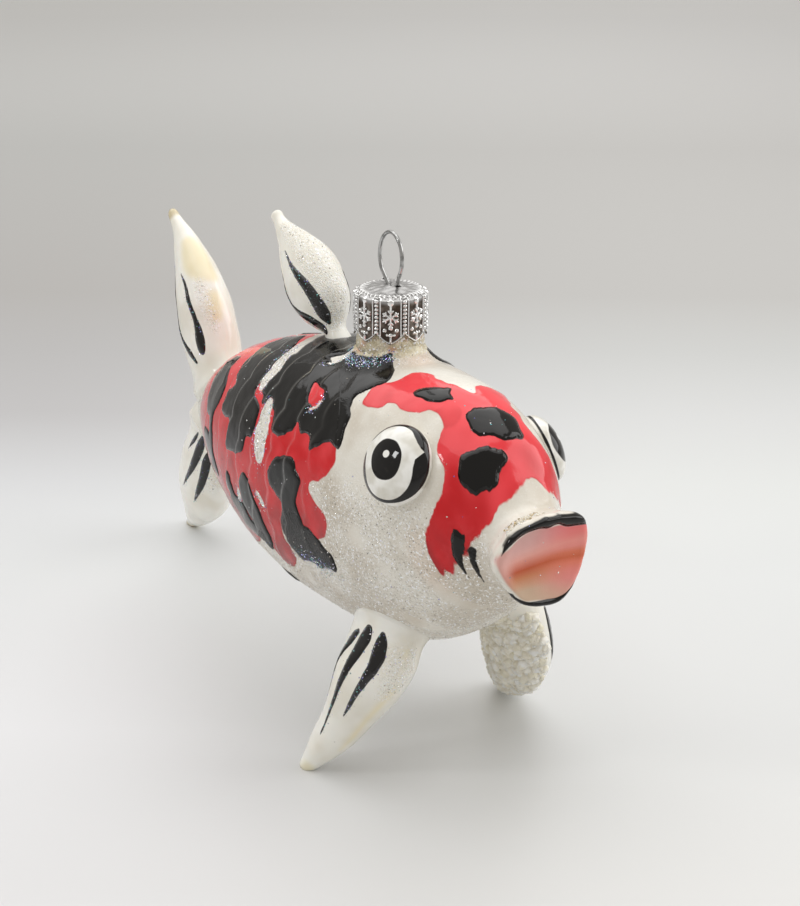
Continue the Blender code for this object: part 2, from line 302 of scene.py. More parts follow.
# Red lacquer of the head: a cap over the brow that runs down the right cheek.
HEAD_RED = Patch((
    (-0.2, 11.7), (1, 9.4), (0.7, 7), (-1.3, 6), (-1.4, 2.6), (-3, 0.8), (-7.6, 0.8), (-11.2, -0.4),
    (-13, -1.3), (-11, -2.9), (-10.2, -5.3), (-10.2, -9.3), (-12.6, -8.4), (-15.1, -7), (-17.2, -6.9),
    (-20.6, -6.8), (-23.2, -10.2), (-24.8, -15), (-26.8, -9.3), (-27.8, -4.8), (-27, -1.8), (-28.1, 0.6),
    (-28.6, 4.2), (-28.6, 7.4), (-27.4, 11.4), (-26.4, 15.5), (-25, 20.3), (-23.1, 25), (-21.2, 22.4),
    (-21.3, 18), (-22, 14.3), (-21.5, 10.7), (-18.4, 9.8), (-16.8, 7), (-13.7, 6), (-10.9, 8.3),
    (-8.2, 9.3), (-5.2, 9.2), (-4.4, 10.6), (-2.4, 11.4),
))
HEAD_RED_OVERLAP = Patch(((-13.2, 4), (-13.6, 7.4), (-16.2, 7.6), (-17.8, 5.6), (-17, 3.2), (-14.6, 2.8)))
# Red lacquer of the flank, under the black strokes.
FLANK_RED = Patch((
    (36, 0.4), (33.5, 3), (31.8, 6.5), (25, 10), (14, 8), (6, 12), (1.8, 17), (0.2, 20.2),
    (-0.2, 22.4), (2, 25.4), (5, 27.2), (4.6, 29), (0.8, 30.5), (-0.3, 32.6), (1.4, 35.5), (4.6, 35.8),
    (9, 33.5), (13.4, 36), (13.8, 40), (11.6, 41.2), (11.4, 43), (14.6, 46.2), (19.8, 44.6),
    (22.8, 41), (26.5, 44.6), (31, 46), (37, 45.5), (45, 42.5), (54, 36), (62, 29),
    (68.5, 21), (71, 12), (68, 5), (64, 0.6), (50, 0.3),
))
# Pink lacquer of the mouth and the two black lip lines, as (x, z) and (x, z, half width) seen from the front.
MOUTH_PINK = (
    (-8.65, 49.3), (-8, 50.3), (-6.9, 50.9), (-5.7, 51.9), (-4.1, 52.6), (-2.1, 52.8), (0.1, 52.6),
    (1.8, 52.6), (3.1, 52.1), (4.9, 51.9), (6.9, 51.8), (7.1, 50.1), (6.9, 48.3), (6.4, 46.1), (5.5, 43.5),
    (4.5, 42.2), (3.2, 41.3), (1.9, 41.1), (-0.1, 41.2), (-2.4, 41.7), (-3.9, 42.1), (-5, 43),
    (-6.2, 44.4), (-7.5, 46.1), (-8.4, 47.9),
)
UPPER_LIP = ((-8.1, 50.1, 0.04), (-7.2, 51.3, 0.24), (-6.1, 52.35, 0.45), (-4.6, 53.1, 0.52),
             (-2.4, 53.45, 0.6), (-0.9, 53.5, 0.82), (-0.2, 53.4, 0.86), (0.9, 53.5, 0.7),
             (1.8, 53.45, 0.7), (3.3, 52.95, 0.95), (5.1, 52.7, 0.86), (6.1, 52.3, 0.55), (6.8, 51.6, 0.1))
LOWER_LIP = ((-6.1, 43.6, 0.16), (-5.4, 42.7, 0.26), (-3.8, 41.5, 0.44), (-2.3, 41, 0.56), (-0.3, 40.75, 0.6),
             (1.5, 40.6, 0.58), (2.9, 40.9, 0.5), (3.9, 41.6, 0.3), (4.8, 42.5, 0.18), (5.5, 43.5, 0.06))
# Black enamel: three thick spots on the brow.
BROW_SPOTS = (
    Patch(((-7.5, 5.9), (-7, 5), (-7.6, 3.9), (-9, 2.6), (-9.9, 1.6), (-10.8, 1.3), (-11.6, 2.1),
           (-13.4, 2.5), (-12.8, 3.4), (-12.6, 4.6), (-11.5, 5.4), (-10.2, 5.9), (-8.8, 6.3))),
    Patch(((-17.2, 2.7), (-16.5, 1.2), (-16.7, -0.5), (-17, -2.3), (-17.8, -4), (-19.2, -4.6),
           (-20.9, -4.4), (-22.4, -3.7), (-23.1, -2.6), (-23, -0.6), (-22.4, 1), (-21.7, 2.4), (-20.9, 3.4),
           (-19.8, 3.8), (-18.4, 3.5))),
    Patch(((-22.4, 8.4), (-21.9, 7.2), (-22, 5.8), (-22.5, 4.4), (-22.9, 3.1), (-23.4, 2), (-24.1, 0.9),
           (-24.8, 0.6), (-25.3, 1.1), (-25.6, 2), (-26, 2.9), (-26.5, 3.8), (-26.6, 5), (-26.1, 6.6),
           (-25.2, 8), (-24.1, 9.1), (-23.2, 9.2))),
)
CHEEK_COMMAS = (
    Stroke(((-25.9, 13.3, 0.15), (-25.5, 14.9, 0.62), (-25.2, 16.6, 0.85), (-25.3, 18, 0.7),
            (-25.8, 19.1, 0.36), (-26.4, 19.9, 0.08))),
    Stroke(((-27.7, 12.6, 0.12), (-27.3, 13.9, 0.55), (-27.2, 15.3, 0.68), (-27.5, 16.4, 0.4),
            (-27.9, 17.3, 0.22), (-28.3, 18.3, 0.06))),
)
# Black enamel of the back and flank.
SADDLE = Patch((
    (29, 3.5), (21, 6), (16, 7.4), (13.6, 5.6), (10, 4), (7.5, 3), (5, 2.6), (2, 3.8),
    (0, 5.8), (0.2, 7.8), (1.6, 9.4), (2.6, 11.4), (2.2, 12.7), (0.8, 14.3), (0, 16.6), (-0.4, 19.6),
    (2.4, 19.4), (4.2, 20.4), (7, 22.4), (8, 20.3), (10.8, 20.2), (12.3, 19), (13.4, 20.6), (15.8, 22),
    (18.6, 22.1), (20.6, 20), (21.4, 17), (24, 15.2), (24.3, 12.6), (26.8, 9.8), (28.2, 7.4),
))
SADDLE_WINDOW = Patch(((14.6, 12.2), (12.2, 12.5), (10, 13.2), (9.8, 15.9), (11.4, 15.6), (12.9, 15.2)))
BRIDGE = Patch((
    (29, 8.5), (27.8, 12.3), (28.6, 14.4), (28.4, 16.1), (27.8, 17.4), (26.2, 18.6), (23.5, 18.7), (21.4, 19),
    (20.2, 20.8), (19.2, 22.4), (16, 22.3), (14.2, 20.6), (14, 12), (20, 7),
))
BRIDGE_WINDOW = Patch(((31, 15.8), (29.4, 16.2), (26.9, 17.3), (27.1, 18.2), (29.8, 17.6)))
NECK_FOOT = Patch((
    (27.5, -3), (24, -4), (19, -4.5), (15, -3.6), (15, 2), (16.2, 6), (19.2, 7.4), (22.4, 6.9),
    (26, 5.4), (28.5, 1.5),
))
BACK_MASS = Patch((
    (37.5, 0.5), (42.2, 1.9), (43.8, 3.2), (45.6, 4.6), (44.6, 7.3), (44.8, 9.4), (45, 11.4), (43, 13.5),
    (41.2, 15.6), (43, 16.6), (43.9, 17.8), (43.4, 19.9), (40.8, 21.4), (37.9, 22.4), (37.2, 25),
    (37.4, 27.2), (34, 28), (30.5, 28.1), (28.5, 27), (28.1, 24.8), (26.2, 24.5), (25.6, 23.2),
    (25.7, 21.9), (26.2, 19.7), (27.6, 18.5), (30.3, 17.3), (31.2, 16), (29.2, 14.6), (29.5, 12.2),
    (30.2, 9.8), (30.6, 8.1), (33.6, 4.6),
))
FLANK_BAR = Patch((
    (16.8, 26.6), (14.4, 25.2), (10.8, 24.8), (9.2, 26.4), (7.8, 27.3), (7.6, 28.6), (8.6, 31.2), (6.8, 34.1),
    (3.8, 35.2), (1.2, 36.4), (-1.2, 37.4), (-1.8, 39.2), (-0.6, 40.4), (1.4, 40.8), (3.6, 41.6), (6.6, 41.4),
    (9, 42.2), (11.8, 40.4), (13.8, 38.8), (13.8, 36.2), (13.4, 33.2), (15.2, 32), (17.4, 30.8), (17.8, 28.6),
))
TAIL_BAND = Patch((
    (52, 7.4), (58, 8), (59.4, 10.6), (58.2, 13.5), (56, 16.6), (54.4, 18.8), (51.8, 20.4), (51, 23.6),
    (49.6, 26.5), (48.6, 29.6), (47.2, 29.8), (47, 26.2), (47.8, 22.6), (47.6, 20.2), (45.9, 17.9),
    (46.4, 15.2), (49, 12), (50.4, 9.6),
))
LOW_BARS = (
    Patch(((57, 21.7), (54, 22), (49.6, 25), (46.2, 29.2), (44.8, 32), (45.8, 33), (49.4, 30.4),
           (54.0, 26.6))),
    Patch(((37.6, 31.8), (35.4, 32.2), (34.4, 34.2), (33.4, 36), (29.4, 36.9), (27.4, 39.4), (24.4, 41.2),
           (22.6, 42.7), (24.2, 43.9), (28, 43), (32.6, 41.8), (34.6, 39.8), (36.6, 37.4), (38.6, 34.6))),
    Patch(((28.6, 31.3), (26.6, 31.5), (24.4, 33.4), (22.8, 35.6), (21.2, 37.6), (20.4, 39.6), (19.2, 41.6),
           (19.2, 43.2), (20.8, 44.7), (22.4, 44), (24.2, 41.8), (26.4, 39.8), (28.8, 37.6), (29.8, 35.4),
           (30.0, 33.2))),
)
BACK_STROKES = (
    Stroke(((16.6, 5.2, 0.6), (18.6, 3.2, 1.7), (21.6, 1.4, 1.9), (23.6, 0.2, 1.3))),
    Stroke(((22.8, 50, 0.3), (21.5, 50.7, 0.75), (20, 51.4, 0.85), (18.4, 51.9, 0.3))),
)
# Bare and glittered white strokes over the red.
WHITE_STROKES = (
    Stroke(((31.4, 5.8, 0.7), (30.6, 7.6, 1.1), (30.1, 9.2, 1.5), (29.6, 11, 1.75), (29, 12.7, 1.75),
            (29.2, 14.2, 1.3), (29, 16, 0.7))),
    Stroke(((24, 17.6, 0.5), (23.4, 18.6, 1.1), (23.2, 20.2, 1.7), (22.8, 22.4, 2.1), (22.5, 24.4, 1.9),
            (22, 26.2, 1.6), (21.8, 27.4, 1.2))),
    Stroke(((16.6, 8.2, 0.12), (15.2, 7.4, 0.26), (14.3, 6.2, 0.36), (14.4, 4.6, 0.5), (15.4, 2.6, 0.5))),
    Stroke(((22.4, 33.5, 0.3), (20.6, 34.8, 0.55), (19.6, 35.8, 0.2))),
    Stroke(((11.6, 16.6, 0.12), (10, 15.8, 0.3), (9.3, 13.6, 0.12))),
    Stroke(((30.9, 34.8, 0.3), (30.6, 36, 0.75), (30.3, 36.8, 0.4))),
)
LEFT_AHEAD = 3.5  # the left side is painted by the same hand, not as a mirror image
LEFT_STRETCH = 1.04
FLANK_BLACK = (SADDLE, BRIDGE, NECK_FOOT, BACK_MASS, FLANK_BAR, TAIL_BAND, *LOW_BARS, *BACK_STROKES)


# ---- finishes ----

def linear(colour: str) -> tuple[float, float, float, float]:
    """Turns an sRGB hex colour into linear light."""
    parts = [int(colour[k:k + 2], 16) / 255 for k in (1, 3, 5)]
    return (*[p / 12.92 if p <= 0.04045 else ((p + 0.055) / 1.055) ** 2.4 for p in parts], 1.0)


def per_metre(size_mm: float) -> float:
    """The texture scale whose lumps or cells are about size_mm across."""
    return 1.0 / (size_mm * MM)


class Kind(Enum):
    """The shader nodes that recur: the type, its settings, the order of its inputs, and its output."""

    ATTRIBUTE = ("ShaderNodeAttribute", (), (), "Fac")
    RAMP = ("ShaderNodeMapRange", (("interpolation_type", "SMOOTHSTEP"),), (0, 1, 2, 3, 4), 0)
    BLEND = ("ShaderNodeMix", (("data_type", "RGBA"),), (0, 6, 7), 2)
    MATH = ("ShaderNodeMath", (), (0, 1, 2), 0)
    NOISE = ("ShaderNodeTexNoise", (), ("Vector", "Scale", "Detail"), "Fac")
    CELLS = ("ShaderNodeTexVoronoi", (), ("Vector", "Scale"), "Distance")
    BUMP = ("ShaderNodeBump", (), ("Height", "Distance", "Normal"), 0)


def add(tree: Tree, kind: Kind | str, *inputs: Value, output: str | int | None = None,
        stops: Sequence[tuple[float, str]] = (), **settings: object) -> Socket | None:
    """Adds a node with its settings, values and links.

    Args:
        tree: the node tree that takes the node.
        kind: a recurring kind, or a node type whose inputs are given in their own order.
        inputs: a number, vector, hex colour or another node's socket for each input; None leaves it alone.
        output: the name or number of the output to hand back; a recurring kind has its own.
        stops: a colour ramp's (position, hex colour) rows, the first at 0 and the last at 1.
        settings: the node's own properties.

    Returns:
        The chosen output, or None for a node without any.
    """
    name, fixed, order, own = kind.value if isinstance(kind, Kind) else (kind, (), range(len(inputs)), 0)
    node = tree.nodes.new(name)
    for key, setting in (*fixed, *settings.items()):
        setattr(node, key, setting)
    for key, value in zip(order, inputs):
        if isinstance(value, Socket):
            tree.links.new(value, node.inputs[key])
        elif value is not None:
            tint = isinstance(value, str) and value[:1] == "#"
            node.inputs[key].default_value = linear(value) if tint else value
    if stops:
        ramp = node.color_ramp.elements
        ramp[0].color, ramp[1].color = linear(stops[0][1]), linear(stops[-1][1])
        for position, tint in stops[1:-1]:
            ramp.new(position).color = linear(tint)
    return node.outputs[own if output is None else output] if len(node.outputs) else None


GLASS_IOR = 1.5
GRAIN_MM = 0.26


@dataclass(frozen=True)
class Finish:
    """A material whose shader inputs are worked out by its own kind of finish."""

    name: str

    def inputs(self, node: Add, place: Socket) -> dict[str, Value]:
        """The Principled shader's inputs; each finish has its own."""
        raise NotImplementedError(self.name)

    def material(self) -> bpy.types.Material:
        """Makes the material, or finds the one that was made before.

        Returns:
            The material.
        """
        made = bpy.data.materials.get(self.name)
        if made is None:
            made = bpy.data.materials.new(self.name)
            made.use_nodes = True
            shader = made.node_tree.nodes["Principled BSDF"]
            node = partial(add, made.node_tree)
            place = node("ShaderNodeTexCoord", output="Object")
            for key, value in self.inputs(node, place).items():
                if isinstance(value, Socket):
                    made.node_tree.links.new(value, shader.inputs[key])
                else:
                    shader.inputs[key].default_value = linear(value) if isinstance(value, str) else value
        return made


@dataclass(frozen=True)
class Glitter:
    """Crushed glitter strewn on wet lacquer: bright and dark grains, each a tiny facet. The grains' colours
    are partly their own and partly painted glints and painted shade.
    """

    light: str = "#FFFFFF"
    dark: str = "#B3AB9D"
    grain_mm: float = GRAIN_MM

    def over(self, node: Add, place: Socket, base: Value, share: Socket) -> Socket:
        """Sprinkles the grains over a colour.

        Args:
            node: adds a node to the material.
            place: the place on the piece.
            base: the colour under the grains.
            share: how much glitter lies there, 0 to 1.

        Returns:
            The colour with the grains in it.
        """
        cell = node(Kind.CELLS, place, per_metre(self.grain_mm), output="Color")
        pick = node("ShaderNodeSeparateColor", cell, output="Red")
        other = node("ShaderNodeSeparateColor", cell, output="Green")
        # painted glints and painted shade: bright and dark grains set into the colour
        bright = node(Kind.MATH, node(Kind.RAMP, pick, 0.84, 0.94), share, operation="MULTIPLY")
        dark = node(Kind.MATH, node(Kind.RAMP, other, 0.68, 0.95, 0.0, 0.55), share, operation="MULTIPLY")
        return node(Kind.BLEND, bright, node(Kind.BLEND, dark, base, self.dark), self.light)

    def facets(self, node: Add, place: Socket, share: Socket, depth_mm: float) -> Socket:
        """Gives the grains relief.

        Args:
            node: adds a node to the material.
            place: the place on the piece.
            share: how much glitter lies there, 0 to 1.
            depth_mm: the grains' height.

        Returns:
            The relief as a normal.
        """
        cells = node(Kind.CELLS, place, per_metre(self.grain_mm))
        height = node(Kind.MATH, cells, share, operation="MULTIPLY")
        return node(Kind.BUMP, height, depth_mm * MM)


@dataclass(frozen=True)
class NeckGlass(Finish):
    """Silvered glass with gold-beige dust fired on: a warm, sandy sparkle."""

    name: str = "gold_dusted_silvered_glass"
    dust: str = "#CDC1A0"
    dust_light: str = "#F0E8CE"
    blush: str = "#D2A588"
    glitter: Glitter = Glitter(grain_mm=0.32)

    def dusting(self, node: Add, place: Socket) -> Socket:
        """The dust's uneven colour.

        Args:
            node: adds a node to the material.
            place: the place on the piece.

        Returns:
            The colour.
        """
        clouds = node(Kind.RAMP, node(Kind.NOISE, place, per_metre(1.4), 3.0), 0.38, 0.66)
        warm = node(Kind.BLEND, clouds, self.dust, self.dust_light)
        blush = node(Kind.RAMP, node(Kind.NOISE, place, per_metre(2.4)), 0.54, 0.68, 0.0, 0.8)
        return node(Kind.BLEND, blush, warm, self.blush)

    def inputs(self, node: Add, place: Socket) -> dict[str, Value]:
        """Strews coarse grains on the dust.

        Args:
            node: adds a node to the material.
            place: the place on the piece.

        Returns:
            The shader's inputs by name.
        """
        share = node(Kind.RAMP, node(Kind.NOISE, place, per_metre(1.0)), 0.2, 0.5, 0.5, 1.0)
        return {"Base Color": self.glitter.over(node, place, self.dusting(node, place), share),
                "Roughness": 0.22,
                "IOR": GLASS_IOR, "Normal": self.glitter.facets(node, place, share, 0.2)}


@dataclass(frozen=True)
class BodyLacquer(Finish):
    """Lacquer on silvered blown glass: pearl, transparent red and thick black enamel under one clear gloss.

    The gloss gives small sharp lights. The red carries painted light: lighter where the glass faces up,
    painted shade where it faces down.
    """

    name: str = "lacquered_silvered_glass"
    pearl: str = "#EAE6DC"
    pearl_shade: str = "#D2C9BA"
    peach: str = "#E2C9B4"
    red: str = "#CE1C22"
    # the red's painted shade where the glass faces down, and its deep red where two coats overlap
    red_deep_and_shaded: str = "#981719"
    # the red's painted highlight where the glass faces up, and its coral where the lacquer is thin
    red_light: str = "#F0474E"
    black: str = "#0E0C0A"
    # the black's painted highlight along the scales' free edges
    black_grey: str = "#403E39"
    corner_pink: str = "#E4B0A6"
    gold: NeckGlass = NeckGlass()
    # The mouth's level streaks from the chin up, on its right side and on its left; the lighter pink band
    # above the orange streak is a painted reflection.
    wiped_right: tuple[tuple[float, str], ...] = (
        (0.0, "#CDB298"), (0.15, "#CBAE94"), (0.24, "#CF9D7E"), (0.36, "#C98056"), (0.48, "#C0532C"),
        (0.58, "#DA8571"), (0.67, "#E8A598"), (0.77, "#E4ACA4"), (0.85, "#DCA8A2"), (1.0, "#D4A49E"))
    wiped_left: tuple[tuple[float, str], ...] = (
        (0.0, "#DEAB9A"), (0.22, "#F0928C"), (0.32, "#F08C82"), (0.41, "#EC8269"), (0.48, "#D86A46"),
        (0.55, "#E27A5C"), (0.62, "#F09288"), (0.69, "#F2988E"), (0.78, "#F0837E"), (1.0, "#EC6A70"))
    glitter: Glitter = Glitter()
    coarse: Glitter = Glitter(grain_mm=0.5)

    def inputs(self, node: Add, place: Socket) -> dict[str, Value]:
        """Lays the lacquers over one another from the marks kept on the mesh.

        Args:
            node: adds a node to the material.
            place: the place on the piece.

        Returns:
            The shader's inputs by name.
        """
        frost, peach, tone, red_depth, white_depth, black_depth, ridge = (
            node(Kind.ATTRIBUTE, attribute_name=key)
            for key in ("frost", "peach", "tone", "red", "white", "black", "ridge"))
        # Pearl lacquer over silvering: cream with soft clouds.
        clouds = node(Kind.RAMP, node(Kind.NOISE, place, per_metre(9.0)), 0.35, 0.7)
        pearl = node(Kind.BLEND, peach, node(Kind.BLEND, clouds, self.pearl, self.pearl_shade), self.peach)
        gold = node(Kind.ATTRIBUTE, attribute_name="gold")
        pearl = node(Kind.BLEND, gold, pearl, self.gold.dusting(node, place))
        ground = self.glitter.over(node, place, pearl, frost)
        # Transparent red lacquer with painted light: coral where the glass faces up, painted shade where it
        # faces down, deeper where two coats overlap, and coral in random thin patches.
        red = node(Kind.BLEND, node(Kind.RAMP, tone, 0.0, 0.5), self.red_deep_and_shaded, self.red)
        red = node(Kind.BLEND, node(Kind.RAMP, tone, 0.45, 1.0), red, self.red_light)
        thin = node(Kind.NOISE, place, per_metre(4.0), 3.0)
        red = node(Kind.BLEND, node(Kind.RAMP, thin, 0.52, 0.78, 0.0, 0.35), red, self.red_light)
        colour = node(Kind.BLEND, node(Kind.RAMP, red_depth, -0.12, 0.16), ground, red)
        # White strokes with coarse glitter.
        white_share = node(Kind.RAMP, white_depth, -0.12, 0.14)
        white = self.coarse.over(node, place, self.pearl, white_share)
        colour = node(Kind.BLEND, white_share, colour, white)
        colour = node(Kind.BLEND, *self.mouth(node, colour))
        # Black enamel, laid on thick, with a painted highlight: soft grey along the moulded scales' free
        # edges.
        grey = node(Kind.RAMP, ridge, 0.1, 0.9, 0.0, 0.55)
        black = node(Kind.BLEND, grey, self.black, self.black_grey)
        colour = node(Kind.BLEND, node(Kind.RAMP, black_depth, -0.07, 0.07), colour, black)
        # The grains, then the edges of the two lacquers, then the brush's ripple.
        facets = self.glitter.facets(node, place, frost, 0.1)
        step = node(Kind.MATH, node(Kind.RAMP, black_depth, -0.05, 0.45),
                   node(Kind.RAMP, red_depth, -0.05, 0.2, 0.0, 0.25), operation="ADD")
        edges = node(Kind.BUMP, step, 0.22 * MM, facets)
        ripple_height = node(Kind.NOISE, place, per_metre(2.6), 1.0)
        return {"Base Color": colour, "Roughness": node(Kind.RAMP, frost, 0.0, 1.0, 0.09, 0.3),
                "Specular IOR Level": 0.34, "IOR": GLASS_IOR,
                "Normal": node(Kind.BUMP, ripple_height, 0.10 * MM, edges)}

    def mouth(self, node: Add, below: Socket) -> tuple[Socket, Socket, Socket]:
        """The pink lacquer of the mouth, wiped on in level streaks, with a lighter band that is a painted
        reflection.

        Args:
            node: adds a node to the material.
            below: the colour under the lacquer.

        Returns:
            The lacquer's share, the colour below, and its own colour.
        """
        streak, to_left, depth = (node(Kind.ATTRIBUTE, attribute_name=key)
                                  for key in ("streak", "to_left", "pink"))
        wiped = [node("ShaderNodeValToRGB", streak, stops=tints)
                 for tints in (self.wiped_right, self.wiped_left)]
        corner = node(Kind.ATTRIBUTE, attribute_name="to_corner")
        pink = node(Kind.BLEND, corner, node(Kind.BLEND, to_left, *wiped), self.corner_pink)
        return node(Kind.RAMP, depth, -0.2, 0.2), below, pink


@dataclass(frozen=True)
class FinLacquer(Finish):
    """Pearl lacquer over frosted blown glass: milky, soft at its thin tip, tan where it was drawn off."""

    name: str = "pearl_lacquered_glass"
    pearl: str = "#F9F7EF"
    pearl_shade: str = "#ECE8DC"
    yellow: str = "#EFE0AE"
    tan: str = "#C3B48C"
    black: str = "#12100F"
    black_brown: str = "#2A2724"
    glitter: Glitter = Glitter(dark="#DCD6C9")

    def inputs(self, node: Add, place: Socket) -> dict[str, Value]:
        """Lays pearl, tints, glitter and the black strokes over one another.

        Args:
            node: adds a node to the material.
            place: the place on the piece.

        Returns:
            The shader's inputs by name.
        """
        frost, tint, tip, depth = (node(Kind.ATTRIBUTE, attribute_name=key)
                                   for key in ("frost", "tint", "tan", "black"))
        clouds = node(Kind.RAMP, node(Kind.NOISE, place, per_metre(7.0)), 0.35, 0.7)
        pearl = node(Kind.BLEND, clouds, self.pearl, self.pearl_shade)
        # a yellow tint; on the right front fin it is partly painted shade
        pearl = node(Kind.BLEND, node(Kind.RAMP, tint, 0.0, 1.0, 0.0, 0.6), pearl, self.yellow)
        pearl = node(Kind.BLEND, node(Kind.RAMP, tip, 0.0, 1.0, 0.0, 0.8), pearl, self.tan)
        ground = self.glitter.over(node, place, pearl, frost)
        thin = node(Kind.RAMP, node(Kind.NOISE, place, per_metre(1.4)), 0.45, 0.75, 0.0, 0.5)
        black = node(Kind.BLEND, thin, self.black, self.black_brown)
        colour = node(Kind.BLEND, node(Kind.RAMP, depth, -0.07, 0.07), ground, black)
        facets = self.glitter.facets(node, place, frost, 0.12)
        edges = node(Kind.BUMP, node(Kind.RAMP, depth, -0.05, 0.4), 0.18 * MM, facets)
        wave = node(Kind.NOISE, place, per_metre(3.0), 1.0)
        return {"Base Color": colour, "Roughness": node(Kind.RAMP, frost, 0.0, 1.0, 0.1, 0.3),
                "IOR": GLASS_IOR, "Normal": node(Kind.BUMP, wave, 0.10 * MM, edges),
                "Subsurface Weight": 0.25,
                "Subsurface Radius": (0.004, 0.0035, 0.003), "Subsurface Scale": 1.0}


@dataclass(frozen=True)
class EyeEnamel(Finish):
    """White and black enamel under gloss: the wet look of an eye."""

    name: str = "glossed_eye_enamel"
    white: str = "#FAF9F4"
    white_shade: str = "#DDDACF"
    black: str = "#0F0D0C"
    black_grey: str = "#33302D"
    spot: str = "#F6F5F0"

    def inputs(self, node: Add, place: Socket) -> dict[str, Value]:
        """Lays the pupil, the outline and the white spot on the white.

        Args:
            node: adds a node to the material.
            place: the place on the piece.

        Returns:
            The shader's inputs by name.
        """
        pupil, line, spot = (node(Kind.RAMP, node(Kind.ATTRIBUTE, attribute_name=key), -0.06, 0.06)
                             for key in ("pupil", "line", "spot"))
        clouds = node(Kind.RAMP, node(Kind.NOISE, place, per_metre(3.0)), 0.4, 0.7)
        white = node(Kind.BLEND, clouds, self.white, self.white_shade)
        thin = node(Kind.RAMP, node(Kind.NOISE, place, per_metre(0.8), 3.0), 0.55, 0.8, 0.0, 0.4)
        dark = node(Kind.MATH, pupil, line, operation="MAXIMUM")
        colour = node(Kind.BLEND, dark, white, node(Kind.BLEND, thin, self.black, self.black_grey))
        colour = node(Kind.BLEND, spot, colour, self.spot)
        raised = node(Kind.BUMP, dark, 0.07 * MM)
        wave = node(Kind.NOISE, place, per_metre(2.2), 1.0)
        return {"Base Color": colour, "Roughness": 0.05, "Specular IOR Level": 0.4, "IOR": GLASS_IOR,
                "Normal": node(Kind.BUMP, wave, 0.06 * MM, raised)}


@dataclass(frozen=True)
class Tinplate(Finish):
    """Stamped tinplate: mirror-like on the raised beads, with painted shade in the dull brown hollows."""

    name: str = "stamped_tinplate"
    recess_shade: str = "#453C35"
    hollow: str = "#7C736B"
    top: str = "#A9A8A7"
    bright: str = "#F0F0EF"

    def inputs(self, node: Add, place: Socket) -> dict[str, Value]:
        """Paints shade into the hollows of the stamping and polishes its heights.

        Args:
            node: adds a node to the material.
            place: the place on the piece.

        Returns:
            The shader's inputs by name.
        """
        stamped, skirt = (node(Kind.ATTRIBUTE, attribute_name=key) for key in ("stamped", "skirt"))
        clouds = node(Kind.RAMP, node(Kind.NOISE, place, per_metre(1.6)), 0.35, 0.7)
        # painted shade: the skirt's hollows are dark brown-grey in random clouds
        hollow = node(Kind.BLEND, clouds, self.recess_shade, self.hollow)
        hollow = node(Kind.BLEND, node(Kind.RAMP, skirt, 0.0, 0.12), self.top, hollow)
        colour = node(Kind.BLEND, node(Kind.RAMP, stamped, 0.1, 0.65), hollow, self.bright)
        wave = node(Kind.NOISE, place, per_metre(0.6))
        return {"Base Color": colour, "Metallic": 1.0,
                "Roughness": node(Kind.RAMP, stamped, 0.1, 0.7, 0.34, 0.16),
                "Normal": node(Kind.BUMP, wave, 0.05 * MM)}


@dataclass(frozen=True)
class SteelWire(Finish):
    """Drawn steel wire: a hard grey line of light along its length."""

    name: str = "drawn_steel_wire"
    light: str = "#B9B9B8"
    dark: str = "#7E7E7C"

    def inputs(self, node: Add, place: Socket) -> dict[str, Value]:
        """A grey metal with faint draw marks.

        Args:
            node: adds a node to the material.
            place: the place on the piece.

        Returns:
            The shader's inputs by name.
        """
        clouds = node(Kind.RAMP, node(Kind.NOISE, place, per_metre(1.2), 3.0), 0.4, 0.7)
        return {"Base Color": node(Kind.BLEND, clouds, self.light, self.dark), "Metallic": 1.0,
                "Roughness": 0.18,
                "Normal": node(Kind.BUMP, node(Kind.NOISE, place, per_metre(0.25)), 0.01 * MM)}


@dataclass(frozen=True)
class GlitterFilm(Finish):
    """Metallised polyester glitter: hard little mirrors that flash white, teal, violet or rose."""

    name: str = "metallised_glitter_film"

    def inputs(self, node: Add, place: Socket) -> dict[str, Value]:
        """Takes each flake's own tint.

        Args:
            node: adds a node to the material.
            place: the place on the piece.

        Returns:
            The shader's inputs by name.
        """
        return {"Base Color": node(Kind.ATTRIBUTE, attribute_name="tint", output="Color"), "Metallic": 0.75,
                "Roughness": 0.16, "Coat Weight": 1.0, "Coat Roughness": 0.04,
                "Normal": node(Kind.BUMP, node(Kind.NOISE, place, per_metre(0.15)), 0.01 * MM)}


@dataclass(frozen=True)
class CrushedGlass(Finish):
    """Crushed glass beads set in lacquer: milky grains with soft wet lights."""

    name: str = "crushed_glass_granules"
    shade: str = "#F3EBD6"

    def inputs(self, node: Add, place: Socket) -> dict[str, Value]:
        """Clouds each grain's own tint a little.

        Args:
            node: adds a node to the material.
            place: the place on the piece.

        Returns:
            The shader's inputs by name.
        """
        clouds = node(Kind.RAMP, node(Kind.NOISE, place, per_metre(1.2)), 0.35, 0.7)
        tint = node(Kind.ATTRIBUTE, attribute_name="tint", output="Color")
        return {"Base Color": node(Kind.BLEND, clouds, tint, self.shade), "Roughness": 0.3, "IOR": GLASS_IOR,
                "Subsurface Weight": 0.3, "Subsurface Scale": 1.0,
                "Subsurface Radius": (0.002, 0.0018, 0.0014),
                "Normal": node(Kind.BUMP, node(Kind.NOISE, place, per_metre(0.3)), 0.05 * MM)}


